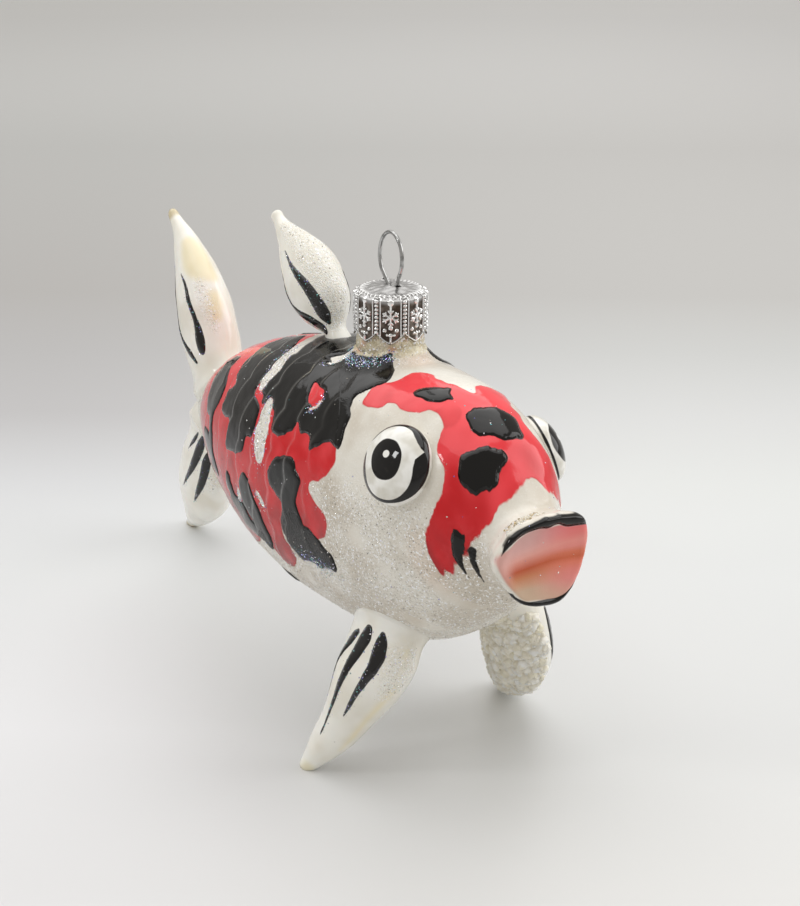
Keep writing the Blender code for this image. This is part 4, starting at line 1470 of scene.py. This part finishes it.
@dataclass
class Eye:
    """A blown bead of an eye: a low dome with a painted pupil, a white spot and a brushed outline."""

    node: str
    centre: tuple[float, float, float]
    looks: tuple[float, float, float]
    radius: float = 6.1
    bulge: float = 3.3
    # The pupil: its middle (towards the snout, up), then its half sizes.
    pupil: tuple[float, float, float, float] = (0.15, 0.4, 2.9, 3.05)
    lean: float = 0.10  # the pupil's lean towards the tail at its top
    # The white spot: its place from the pupil's middle, its radius and how much wider than tall it is.
    spot: tuple[float, float, float, float] = (-0.1, 0.75, 0.56, 1.1)
    # The brushed outline: (degrees from the snout side towards the top, half width, distance from the middle
    # along the dome)
    outline: Points = (
        (-180, 0.55, 5.3), (-165, 0.9, 5.3), (-150, 1, 5.3), (-135, 1, 5.5), (-120, 0.8, 5.85),
        (-105, 0.5, 6.05), (-90, 0.34, 6.15), (-75, 0.32, 6.2), (-60, 0.36, 6.3), (-45, 0.5, 6.45),
        (-30, 0.75, 6.55), (-12, 1.1, 6.55), (8, 1.3, 6.45), (22, 1.2, 6.4), (29, 0.8, 6.8),
        (34, 0.4, 7.15), (39, 0.65, 6.95), (50, 0.95, 6.9), (62, 0.9, 6.9), (75, 0.75, 7.05),
        (90, 0.7, 7), (105, 0.75, 6.8), (120, 0.7, 6.5), (135, 0.62, 6.1), (150, 0.5, 5.85),
        (160, 0.1, 5.8), (168, -0.3, 5.7), (174, -0.2, 5.5), (180, 0.55, 5.3))
    outline_floor: float = -1.0  # the outline stops this far behind the dome's rim
    segments: int = 128
    rings: int = 72
    finish: Finish = EyeEnamel()

    def build(self) -> bpy.types.Object:
        """Makes the dome in place of the eye's solid.

        Returns:
            The eye.
        """
        dome = bmesh.new()
        bmesh.ops.create_uvsphere(dome, u_segments=self.segments, v_segments=self.rings, radius=1.0)
        bmesh.ops.scale(dome, vec=(self.radius, self.radius, self.bulge), verts=dome.verts)
        flat = np.array([vert.co for vert in dome.verts])
        axis = Vector(self.looks).normalized()
        up = (Vector((0, 0, 1)) - axis * axis.z).normalized()
        ahead = up.cross(axis)
        if ahead.y > 0:
            ahead = -ahead  # towards the snout on either side
        turn = Matrix((ahead, up, axis)).transposed().to_4x4()
        bmesh.ops.transform(dome, matrix=turn, verts=dome.verts)
        name = "blown_" + self.node
        mesh = settled(name, dome, self.centre)
        for key, values in self.marks(flat).items():
            store(mesh, key, values)
        return finish_mesh(name, mesh, self.finish, (self.node,))

    def marks(self, flat: Array) -> dict[str, Array]:
        """Paints the eye.

        Args:
            flat: each point's place on the unturned dome: towards the snout, up, and out.

        Returns:
            The depth inside the pupil, the white spot and the outline.
        """
        ahead, up, height = flat.T
        middle_ahead, middle_up, half_ahead, half_up = self.pupil
        up_from = up - middle_up
        level = np.hypot((ahead - middle_ahead + self.lean * up_from) / half_ahead, up_from / half_up)
        pupil = (1.0 - level) * (half_ahead + half_up) / 2 + 0.05 * ripple(ahead, up, 2.4, 81)
        spot_ahead, spot_up, spot_radius, spot_width = self.spot
        spot = spot_radius - np.hypot((ahead - middle_ahead - spot_ahead) / spot_width, up_from - spot_up)
        # The outline is placed by the way walked from the dome's middle down its curve.
        slope = np.linspace(0.0, math.pi, 400)
        paces = np.hypot(self.radius * np.cos(slope), self.bulge * np.sin(slope)) * (slope[1] - slope[0])
        walk = np.interp(np.arccos(np.clip(height / self.bulge, -1, 1)), slope, np.cumsum(paces))
        turns, halves, reaches = np.array(self.outline).T
        turn = np.degrees(np.arctan2(up, ahead))
        line = np.interp(turn, turns, halves) - np.abs(walk - np.interp(turn, turns, reaches))
        line = np.where(height > self.outline_floor, line + 0.05 * ripple(ahead, up, 3.0, 82), -1.0)
        return {"pupil": held(pupil), "spot": spot, "line": held(line)}


# ---- neck, cap and wire ----

def spun(profile: Sequence[tuple[float, float]], steps: int) -> bmesh.types.BMesh:
    """Turns a profile round the upright axis at the origin.

    Args:
        profile: (radius, height) points from the axis out and back to it.
        steps: how many flats go round.

    Returns:
        The closed shape.
    """
    shape = bmesh.new()
    chain = [shape.verts.new((radius, 0.0, z)) for radius, z in profile]
    edges = [shape.edges.new(pair) for pair in zip(chain, chain[1:])]
    bmesh.ops.spin(shape, geom=[*chain, *edges], axis=(0, 0, 1), cent=(0, 0, 0),
                   angle=2 * math.pi, steps=steps,
                   use_merge=True)
    bmesh.ops.remove_doubles(shape, verts=shape.verts, dist=0.0005)
    return shape


@dataclass
class Neck:
    """The glass tube that was drawn out of the back, fused to it with a soft fillet."""

    tube_radius: float = 5.42
    top_radius: float = 4.6
    foot_z: float = 66.6
    shoulder_z: float = 70.6
    top_z: float = 74.4
    bore: float = 3.1
    bore_floor_z: float = 68.4
    lip: float = 0.3  # how far the tube's end is rounded in the fire
    steps: int = 144
    finish: Finish = NeckGlass()

    def profile(self) -> list[tuple[float, float]]:
        """Draws the neck from its foot inside the skin up to its lip and down the bore.

        Returns:
            (radius, height) points.
        """
        tube, top, bore, lip = self.tube_radius, self.top_radius, self.bore, self.lip
        return [(0.0, self.foot_z), (tube + 0.25, self.foot_z), (tube + 0.08, 68.0), (tube, 68.8),
                (tube, self.shoulder_z), (top, self.shoulder_z + 0.6), (top, self.top_z - lip),
                (top - lip, self.top_z), (bore + lip, self.top_z), (bore, self.top_z - lip),
                (bore, self.bore_floor_z), (0.0, self.bore_floor_z - 0.2)]

    def build(self) -> bpy.types.Object:
        """Makes the neck in place of its solid."""
        mesh = settled("drawn_neck", spun(self.profile(), self.steps), (0, NECK_Y, 0))
        return finish_mesh("drawn_neck", mesh, self.finish, ("glass_neck",))


@dataclass
class CrownCap:
    """The stamped tinplate cap: eight scalloped panels, each with a frost star, under a knurled shoulder."""

    radius: float = 5.72
    rim_radius: float = 5.0
    wall: float = 0.2
    top_z: float = 76.45
    rim_z: float = 76.2
    shoulder_z: float = 75.8
    tip_z: float = 68.8
    notch_z: float = 70.5
    turned: float = -30.3  # degrees from the snout to the middle of a panel
    panels: int = 8
    around: int = 480
    rows: int = 86
    relief: float = 0.32
    dome: float = 0.38
    slot: tuple[float, float] = (1.0, 1.1)
    slots: tuple[tuple[float, float], ...] = LEG_HOLES
    finish: Finish = Tinplate()

    def outline(self) -> tuple[Array, Array]:
        """Draws the cap's profile from the skirt's edge to the middle of its top.

        Returns:
            The radius and the height of each row.
        """
        skirt, slope, curl = 56, 12, 8  # rows up the skirt, up the slope above it, and over the rim
        flat = self.rows + 1 - skirt - slope - curl
        turn = np.linspace(0.0, math.pi / 2, curl + 1)[1:]
        step = self.top_z - self.rim_z
        inner = self.rim_radius - step
        reach = [np.full(skirt, self.radius), np.linspace(self.radius, self.rim_radius, slope + 1)[1:],
                 inner + step * np.cos(turn), inner * np.linspace(1.0, 0.0, flat + 1)[1:]]
        height = [np.linspace(self.tip_z, self.shoulder_z, skirt),
                  np.linspace(self.shoulder_z, self.rim_z, slope + 1)[1:],
                  self.rim_z + step * np.sin(turn), np.full(flat, self.top_z)]
        return np.concatenate(reach), np.concatenate(height)

    def emboss(self, across: Array, z: Array, low: Array) -> Array:
        """The stamped height on the skirt.

        Args:
            across: distance from the middle of the nearest panel, in millimetres.
            z: the height.
            low: the skirt's own lower edge at that place.

        Returns:
            The height of the stamping, 0 to 1.
        """
        def bead(x: float, y: float, size: float) -> Array:
            """A round bead."""
            return np.sqrt(np.clip(1.0 - ((across - x) ** 2 + (z - y) ** 2) / size ** 2, 0, 1))

        def bar(x: float, y: float, angle: float, reach: float, half: float) -> Array:
            """Draws a rounded bar.

            Args:
                x: where it starts, across.
                y: where it starts, up.
                angle: the way it points.
                reach: its length.
                half: half its width.

            Returns:
                Its height at each point, from 0 to 1.
            """
            c, s = math.cos(angle), math.sin(angle)
            along = np.clip((across - x) * c + (z - y) * s, 0.0, reach)
            aside = np.hypot(across - x - along * c, z - y - along * s)
            return np.sqrt(np.clip(1.0 - (aside / half) ** 2, 0, 1))

        up, star_z, arm, fork = math.pi / 2, 73.2, 1.3, 0.55
        parts = [bead(0, 75.55, 0.55), bar(0, 75.4, -up, 0.9, 0.2), bead(0, 71.5, 0.42),
                 bead(0, 70.3, 0.36), bar(0, 69.3, up, 0.5, 0.2)]
        for k in range(6):
            angle = up + k * math.pi / 3
            middle = (arm * fork * math.cos(angle), star_z + arm * fork * math.sin(angle))
            parts += [bar(0.0, star_z, angle, arm, 0.17),
                      *(bar(*middle, angle + turn, 0.5, 0.15) for turn in (-0.75, 0.75))]
        # A ridge and a row of beads stand between two panels.
        ridge, row, pitch = 1.62, 2.16, 0.62
        for side in (-1.0, 1.0):
            off_bead = (z / pitch - np.rint(z / pitch)) * pitch
            parts += [bead(side * 0.95, 71.1, 0.36), bead(side * 0.55, 70.35, 0.24),
                      0.8 * np.clip(1.0 - np.abs(across - side * ridge) / 0.16, 0, 1),
                      np.sqrt(np.clip(1.0 - (np.hypot(across - side * row, off_bead) / 0.28) ** 2, 0, 1))]
        parts.append(0.8 * np.clip(1.0 - np.abs(z - low - 0.22) / 0.2, 0, 1))
        return np.max(parts, axis=0)

    def build(self) -> bpy.types.Object:
        """Makes the cap in place of its solid.

        Returns:
            The cap, with its sheet's thickness applied.
        """
        sheet = bmesh.new()
        bmesh.ops.create_grid(sheet, x_segments=self.around, y_segments=self.rows, size=1.0)
        layers = [sheet.verts.layers.float.new(key) for key in ("stamped", "skirt")]
        flat = np.array([vert.co for vert in sheet.verts])
        row, angle = np.clip((flat[:, 1] + 1) / 2 * self.rows, 0, self.rows), flat[:, 0] * math.pi
        radius, z = (np.interp(row, np.arange(self.rows + 1), values) for values in self.outline())
        # The skirt's lower edge is scalloped, with a tip on each panel.
        pitch = 2 * math.pi / self.panels
        off = (angle / pitch - np.rint(angle / pitch)) * pitch
        low = self.tip_z + (self.notch_z - self.tip_z) * np.abs(2 * off / pitch) ** 1.5
        skirt = np.clip((self.shoulder_z - z) / (self.shoulder_z - self.tip_z), 0, 1)
        z = z + (low - self.tip_z) * skirt
        stamped = self.emboss(off * self.radius, z, low) * (z < self.rim_z - 0.08)
        # The rim is knurled like a rope, and the top is a little domed and dented.
        knurl = (0.5 + 0.5 * np.cos(angle * 40 + (z - self.shoulder_z) * 2.2)) * (
            ease(z, self.rim_z - 0.25, self.rim_z) * ease(radius, 4.1, 4.5))
        lift = self.relief * stamped + 0.16 * knurl
        crumple = ripple(radius * np.cos(angle), radius * np.sin(angle), 1.5, 91)
        dome = (self.dome * (1 - ease(radius, 0.5, 4.2)) - 0.09 * crumple) * (z > self.top_z - 0.02)
        out = radius + lift * np.clip(radius / self.radius, 0, 1) * np.where(z < self.rim_z + 0.05, 1.0, 0.4)
        out = out + 0.06 * ripple(angle * self.radius, z, 5.0, 92)
        top = z + np.where(z > self.shoulder_z, lift * 0.7, 0.0) + dome
        angle = angle + math.radians(self.turned)
        places = np.column_stack([out * np.sin(angle), -out * np.cos(angle) + NECK_Y, top])
        for vert, place, *marks in zip(sheet.verts, places, np.maximum(stamped, 0.5 * knurl), skirt):
            vert.co = place
            for layer, mark in zip(layers, marks):
                vert[layer] = mark
        bmesh.ops.remove_doubles(sheet, verts=sheet.verts, dist=0.004)
        bmesh.ops.recalc_face_normals(sheet, faces=sheet.faces)
        self.open_slots(sheet)
        mesh = settled("stamped_cap", sheet)
        cap = finish_mesh("stamped_cap", mesh, self.finish, ("crown_cap",))
        thickness = cap.modifiers.new("thickness", "SOLIDIFY")
        thickness.thickness = self.wall * MM
        thickness.offset = -1.0
        apply_all(cap)
        return cap

    def open_slots(self, sheet: bmesh.types.BMesh) -> None:
        """Opens the two slots for the wire's legs in the top of the sheet.

        Args:
            sheet: the cap's sheet, before it has its thickness.
        """
        half_x, half_y = self.slot[0] / 2, self.slot[1] / 2
        for x, y in self.slots:
            middle = Vector((x, NECK_Y + y, self.top_z))
            for offset in ((half_x, 0, 0), (-half_x, 0, 0), (0, half_y, 0), (0, -half_y, 0)):
                top = [face for face in sheet.faces if (at := face.calc_center_median()).z > self.rim_z
                       and (at - middle).xy.length < 2 * self.slot[1]]
                near = {part for face in top for part in (*face.verts, *face.edges)}
                bmesh.ops.bisect_plane(sheet, geom=[*near, *top], dist=1e-5, plane_co=middle + Vector(offset),
                                       plane_no=Vector(offset).normalized())
            gaps = [(face, face.calc_center_median() - middle) for face in sheet.faces]
            hole = [face for face, gap in gaps
                    if abs(gap.x) < half_x and abs(gap.y) < half_y and abs(gap.z) < 1.0]
            bmesh.ops.delete(sheet, geom=hole, context="FACES")


def apply_all(piece: bpy.types.Object) -> None:
    """Applies a piece's modifiers to its own mesh.

    Args:
        piece: the piece, which keeps its mesh's name.
    """
    graph = bpy.context.evaluated_depsgraph_get()
    graph.update()
    old, name = piece.data, piece.data.name
    piece.data = bpy.data.meshes.new_from_object(piece.evaluated_get(graph), depsgraph=graph)
    piece.modifiers.clear()
    bpy.data.meshes.remove(old)
    piece.data.name = name


@dataclass
class HangingLoop:
    """The bent wire that hangs the ornament: two sprung legs in the cap and an upright oval eye."""

    wire_radius: float = 0.32
    half_width: float = 3.45
    middle_z: float = 81.4
    top_z: float = 85.7
    legs: tuple[tuple[float, float], ...] = LEG_HOLES
    foot_z: float = 67.8
    hole_z: float = 76.9
    open_angle: float = -40.0  # where the eye's ring gives way to the legs, from level
    sway: float = 0.12  # how far the eye is bent out of its plane
    turns: int = 72
    finish: Finish = SteelWire()

    def build(self) -> bpy.types.Object:
        """Makes the wire in place of its solid.

        Returns:
            The wire, as a curve.
        """
        rise = self.top_z - self.wire_radius - self.middle_z
        start = math.radians(self.open_angle)
        front, back = self.legs
        path = [(front[0], NECK_Y + front[1], z) for z in (self.foot_z, self.hole_z)]
        for k in range(self.turns + 1):
            angle = start + (math.pi - 2 * start) * k / self.turns
            path.append((self.sway * math.sin(angle), NECK_Y - self.half_width * math.cos(angle),
                         self.middle_z + rise * math.sin(angle)))
        path += [(back[0], NECK_Y + back[1], z) for z in (self.hole_z, self.foot_z)]
        curve = bpy.data.curves.new("wire_loop", "CURVE")
        curve.dimensions = "3D"
        curve.bevel_depth = self.wire_radius * MM
        curve.bevel_resolution = 6
        curve.use_fill_caps = True
        spline = curve.splines.new("POLY")
        spline.points.add(len(path) - 1)
        for point, place in zip(spline.points, to_frame(np.array(path))):
            point.co = (*place, 1.0)
        curve.materials.append(self.finish.material())
        loop = bpy.data.objects.new("wire_loop", curve)
        bpy.context.scene.collection.objects.link(loop)
        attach(loop, ROOT_BODY)
        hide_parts("hanging_loop")
        LOG.info("wire_loop: %d points", len(path))
        return loop


# ---- glitter and granules ----

class Grain(Enum):
    """The shape of one small thing that is scattered on the glass."""

    FLAKE = "flake"
    GRANULE = "granule"


@dataclass(frozen=True)
class Scatter:
    """Many small things on a shell: how many, their smallest and largest size in millimetres, their tints."""

    name: str
    grain: Grain
    count: int
    size: tuple[float, float]
    tints: tuple[str, ...]
    seed: int
    slot: str
    sink: float = 0.0  # the share of its size by which a grain is set into the lacquer

    def build(self, shells: Sequence[tuple[Shell, Array]], finish: Finish) -> bpy.types.Object:
        """Scatters the grains and joins them to one mesh.

        Args:
            shells: each shell with the density of grains at its grid points.
            finish: the grains' finish.

        Returns:
            The joined piece.
        """
        random = np.random.default_rng(self.seed)
        spots = [self.places(shell, density, random) for shell, density in shells]
        weight = np.array([total for *_, total in spots])
        take = np.floor(self.count * weight / weight.sum()).astype(int)
        where, normal, root = (np.concatenate([spot[k][:n] for spot, n in zip(spots, take)])
                               for k in range(3))
        n = len(where)
        smallest, largest = self.size
        size = random.uniform(0.0, 1.0, n) ** 1.8 * (largest - smallest) + smallest
        spin = random.uniform(0, 2 * math.pi, n)
        facing = normal + random.normal(0.0, 0.3, (n, 3))
        turns = np.array([(Vector(way).to_track_quat("Z", "Y")
                           @ Matrix.Rotation(angle, 3, "Z").to_quaternion()).to_euler()
                          for way, angle in zip(facing, spin)])
        colours = np.array([linear(tint) for tint in self.tints])[random.integers(0, len(self.tints), n)]
        seeds = bmesh.new()
        for place in to_frame(where - normal * (size * self.sink)[:, None]):
            seeds.verts.new(place)
        points = bpy.data.meshes.new(self.name)
        seeds.to_mesh(points)
        seeds.free()
        store(points, "size", size * MM)
        for key, kind, field_name, values in (("turn", "FLOAT_VECTOR", "vector", turns),
                                              ("root", "FLOAT_VECTOR", "vector", root),
                                              ("tint", "FLOAT_COLOR", "color", colours)):
            kept = points.attributes.new(key, kind, "POINT").data
            kept.foreach_set(field_name, values.astype(np.float32).ravel())
        piece = bpy.data.objects.new(self.name, points)
        bpy.context.scene.collection.objects.link(piece)
        spread = piece.modifiers.new("spread", "NODES")
        spread.node_group = self.spreader(finish.material())
        apply_all(piece)
        self.unwrap(piece.data)
        bpy.data.node_groups.remove(bpy.data.node_groups[self.name])
        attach(piece, ROOT_BODY)
        LOG.info("%s: %d grains, %d faces", self.name, n, len(piece.data.polygons))
        return piece

    def places(self, shell: Shell, density: Array, random: np.random.Generator) -> tuple[Array, ...]:
        """Draws random places on a shell.

        Args:
            shell: the shell.
            density: how thick the grains lie at its grid points.
            random: the source of the draws.

        Returns:
            The places, their normals, their places on the shell's unwrap, and the weighted area.
        """
        weight = (np.linalg.norm(shell.cells(), axis=2) * density).ravel()
        total = weight.sum()
        picked = random.choice(len(weight), size=self.count, p=weight / total)
        ring, spoke = picked // shell.spokes, picked % shell.spokes
        across, along = random.uniform(0, 1, (2, self.count, 1))
        next_spoke = (spoke + 1) % shell.spokes
        low, high = (shell.points[row, spoke] * (1 - across) + shell.points[row, next_spoke] * across
                     for row in (ring, np.minimum(ring + 1, shell.rings)))
        root = np.column_stack([(spoke + across[:, 0]) / shell.spokes, (ring + along[:, 0]) / shell.rings,
                                np.zeros(self.count)])
        return low * (1 - along) + high * along, shell.normals()[ring, spoke], root, total

    def spreader(self, material: bpy.types.Material) -> Tree:
        """Makes the node group that puts a grain on every seed point and joins them.

        Args:
            material: the grains' material.

        Returns:
            The node group.
        """
        tree = bpy.data.node_groups.new(self.name, "GeometryNodeTree")
        for way in ("INPUT", "OUTPUT"):
            tree.interface.new_socket("Geometry", in_out=way, socket_type="NodeSocketGeometry")
        points = add(tree, "GeometryNodeMeshToPoints", add(tree, "NodeGroupInput"))
        if self.grain is Grain.FLAKE:
            sides, top, foot, height = 6, 0.62, 1.0, 0.34
            body = add(tree, "GeometryNodeMeshCone", sides, None, None, top, foot, height, fill_type="NGON")
        else:
            ball = add(tree, "GeometryNodeMeshIcoSphere", 1.0, 2)
            wave = add(tree, "ShaderNodeTexNoise", None, None, 1.3, 1.0, output="Color")
            push = add(tree, "ShaderNodeVectorMath", wave, (0.5, 0.5, 0.5), operation="SUBTRACT")
            body = add(tree, "GeometryNodeSetPosition", ball, None, None, push)
        body = add(tree, "GeometryNodeStoreNamedAttribute", body, None, "grain",
                   add(tree, "GeometryNodeInputPosition"), data_type="FLOAT_VECTOR", domain="POINT")
        turn = add(tree, "GeometryNodeInputNamedAttribute", "turn", data_type="FLOAT_VECTOR")
        size = add(tree, "GeometryNodeInputNamedAttribute", "size", data_type="FLOAT")
        spin = add(tree, "FunctionNodeEulerToRotation", turn)
        spread = add(tree, "GeometryNodeInstanceOnPoints", points, None, body, None, None, spin, size)
        joined = add(tree, "GeometryNodeRealizeInstances", spread)
        add(tree, "NodeGroupOutput", add(tree, "GeometryNodeSetMaterial", joined, None, material))
        return tree

    def unwrap(self, mesh: bpy.types.Mesh) -> None:
        """Gives each grain a small patch round its root's place on the glass's unwrap.

        Args:
            mesh: the joined grains.
        """
        place = np.zeros((len(mesh.vertices), 2))
        for key, half_patch in (("root", 1.0), ("grain", 0.0015)):
            values = np.empty(len(mesh.vertices) * 3, np.float32)
            mesh.attributes[key].data.foreach_get("vector", values)
            place += values.reshape(-1, 3)[:, :2] * half_patch
        corner = np.empty(len(mesh.loops), np.int32)
        mesh.loops.foreach_get("vertex_index", corner)
        for key in {"root", "grain", "turn", "size"} & set(mesh.attributes.keys()):
            mesh.attributes.remove(mesh.attributes[key])
        mesh.uv_layers.new(name="OFBake").data.foreach_set("uv", place[corner].astype(np.float32).ravel())


# ---- studio ----

@dataclass(frozen=True)
class Studio:
    """A pale table, soft lights and the camera that looks down at the fish's right cheek."""

    floor_reach: float = 4.0
    camera_place: tuple[float, float, float] = (-116.0, -188.7, 142.0)
    camera_looks: tuple[float, float, float] = (0.473, 0.796, -0.378)
    camera_roll: float = 0.006
    lens: float = 59.6
    sensor: float = 36.0
    room: str = "#E6E3DE"
    room_strength: float = 0.63
    # Each square soft light: its name, its place, what it is turned to, its side and its power.
    lights: tuple[tuple, ...] = (("window_above", (0.05, 0.26, 0.72), (0, 0, 0.03), 1.15, 5.9),
                                 ("window_right", (0.56, -0.24, 0.36), (0, 0, 0.02), 0.50, 1.9),
                                 ("lamp_left", (-0.49, 0.09, 0.40), (0, 0, 0.05), 0.08, 0.35))

    def build(self) -> None:
        """Sets the floor, the lights, the world and the camera."""
        self.floor()
        for name, place, target, size, power in self.lights:
            lamp = bpy.data.lights.new(name, "AREA")
            lamp.size, lamp.energy = size, power
            self.hang(name, lamp, Vector(place), Vector(target) - Vector(place))
        world = bpy.data.worlds.new("pale_room")
        world.use_nodes = True
        sky = world.node_tree.nodes["Background"].inputs
        sky["Color"].default_value, sky["Strength"].default_value = linear(self.room), self.room_strength
        bpy.context.scene.world = world
        bpy.context.scene.view_settings.view_transform = "Standard"
        bpy.context.scene.view_settings.look = "None"
        self.camera()

    def floor(self) -> None:
        """A wide sheet of off-white paper board with painted shade a little behind the fish."""
        sheet = bmesh.new()
        bmesh.ops.create_circle(sheet, cap_ends=True, segments=96, radius=self.floor_reach)
        mesh = bpy.data.meshes.new("table")
        sheet.to_mesh(mesh)
        sheet.free()
        mesh.materials.append(PaperBoard().material())
        table = bpy.data.objects.new("table", mesh)
        bpy.context.scene.collection.objects.link(table)

    def hang(self, name: str, data: bpy.types.ID, place: Vector, looks: Vector,
             roll: float = 0.0) -> bpy.types.Object:
        """Hangs a light or the camera.

        Args:
            name: its name.
            data: the light's or the camera's own settings.
            place: where it hangs, in the frame's metres.
            looks: the way it looks.
            roll: how far it is turned about that way.

        Returns:
            The new object.
        """
        made = bpy.data.objects.new(name, data)
        made.location = place
        turn = looks.to_track_quat("-Z", "Y") @ Matrix.Rotation(roll, 3, "Z").to_quaternion()
        made.rotation_euler = turn.to_euler()
        bpy.context.scene.collection.objects.link(made)
        return made

    def camera(self) -> None:
        """Sets the camera level with the fish's back, in front and to its right."""
        lens = bpy.data.cameras.new("camera")
        lens.lens, lens.sensor_fit = self.lens, "VERTICAL"
        lens.sensor_height = lens.sensor_width = self.sensor
        lens.clip_start, lens.clip_end = 0.01, 20.0
        place, looks = Vector(to_frame(np.array(self.camera_place))), Vector(self.camera_looks)
        bpy.context.scene.camera = self.hang("camera", lens, place, looks, self.camera_roll)


# the two darkest pearl tints are painted shade: flakes that face away from the light
PEARL_TINTS = ("#FFFFFF", "#F4F2FF", "#FFF6F0", "#EAF6F4", "#E7E2D6", "#8E877B", "#B5AC9E")
JEWEL_TINTS = ("#8FD8D2", "#9FA6E8", "#E9E6FF", "#5FA8B0", "#7A6FC4", "#FFFFFF")
CRUST_TINTS = ("#FFFBEE", "#F7F1DE", "#FFFEF8", "#EDE5CC")
LIP_TINTS = ("#FFFFFF", "#FFFFFF", "#E9DEC0", "#C4A970", "#94825E")


def scatter_glitter(body: Body, fins: dict[FinPlace, Fin]) -> None:
    """Scatters the glitter over the glass and the crust over the left front fin.

    Args:
        body: the finished skin.
        fins: the finished fins by place.
    """
    marks = body.marks
    clear = ease(marks["red"], 0.4, -0.2) * ease(marks["black"], 0.3, -0.2)
    pearl = np.clip(marks["frost"] - 0.15, 0, 1) * np.maximum(clear, 0.05) + 0.01
    white = ease(marks["white"], 0.0, 0.4) * ease(marks["black"], 0.3, -0.2)
    film = GlitterFilm()
    fin_frost = [(fin, np.clip(fin.marks["frost"], 0, 1) ** 2 * ease(fin.marks["black"], 0.2, -0.2) + 0.004)
                 for fin in fins.values()]
    Scatter("pearl_glitter", Grain.FLAKE, 9000, (0.06, 0.15), PEARL_TINTS, 101, "pearl_glass").build(
        [(body, pearl + white * 5.0), *fin_frost], film)
    edge = np.exp(-(marks["white"] / 0.5) ** 2) * (marks["white"] > -1.2)
    bar_end = np.exp(-(np.hypot((body.along[:, None] - 4.0) / 5.0, (np.abs(body.around) - 40.6) / 1.3)) ** 2)
    neck_line = np.exp(-((body.from_neck - 6.3) / 0.5) ** 2) * ease(body.marks["black"], -0.9, 0.0)
    jewel = edge * 0.8 + bar_end * 1.4 + neck_line * ease(body.around, -0.5, 2.5) * 3.0 + 0.002
    jewel_fins = [(fin, np.exp(-((fin.marks["black"] - 0.15) / 0.35) ** 2) * 0.35
                   * ease(fin.points[..., 0], 1.0, -1.5)) for place, fin in fins.items()
                  if place is not FinPlace.PECTORAL_LEFT]
    Scatter("jewel_glitter", Grain.FLAKE, 3200, (0.06, 0.14), JEWEL_TINTS, 102, "pearl_glass").build(
        [(body, jewel), *jewel_fins], film)
    left = fins[FinPlace.PECTORAL_LEFT]
    inner = ease(left.normals()[..., 0], 0.35, -0.15) * ease(left.points[..., 2], 26.0, 22.0)
    inner = inner * ease(left.points[..., 2], 1.4, 2.2)
    Scatter("fin_crust", Grain.GRANULE, 950, (0.30, 1.25), CRUST_TINTS, 103, "fin_glass", sink=0.3).build(
        [(left, inner)], CrushedGlass())
    Scatter("lip_crust", Grain.GRANULE, 240, (0.10, 0.30), LIP_TINTS, 104, "pearl_glass", sink=0.3).build(
        [(body, body.crust + 1e-7)], CrushedGlass(name="lip_glass_granules"))


def main() -> None:
    """Builds the ornament piece by piece, then the studio."""
    logging.basicConfig(level=logging.INFO, format="%(name)s: %(message)s")
    body = Body()
    body.build()
    Eye("eye_right", (-12.6, -14, 57.2), (-0.87, -0.20, 0.45)).build()
    Eye("eye_left", (13, -14.6, 54.8), (0.89, -0.23, 0.33), radius=5.6, bulge=3, outline_floor=-2.2,
        pupil=(2.3, 1.2, 2.9, 3.1), outline=((-180, 0.22, 6.9), (0, 0.22, 6.95), (180, 0.22, 6.9))).build()
    fins = {}
    for plan in FINS:
        fins[plan.place] = Fin(plan=plan)
        fins[plan.place].build()
    Neck().build()
    CrownCap().build()
    HangingLoop().build()
    scatter_glitter(body, fins)
    Studio().build()


if __name__ == "__main__":
    main()
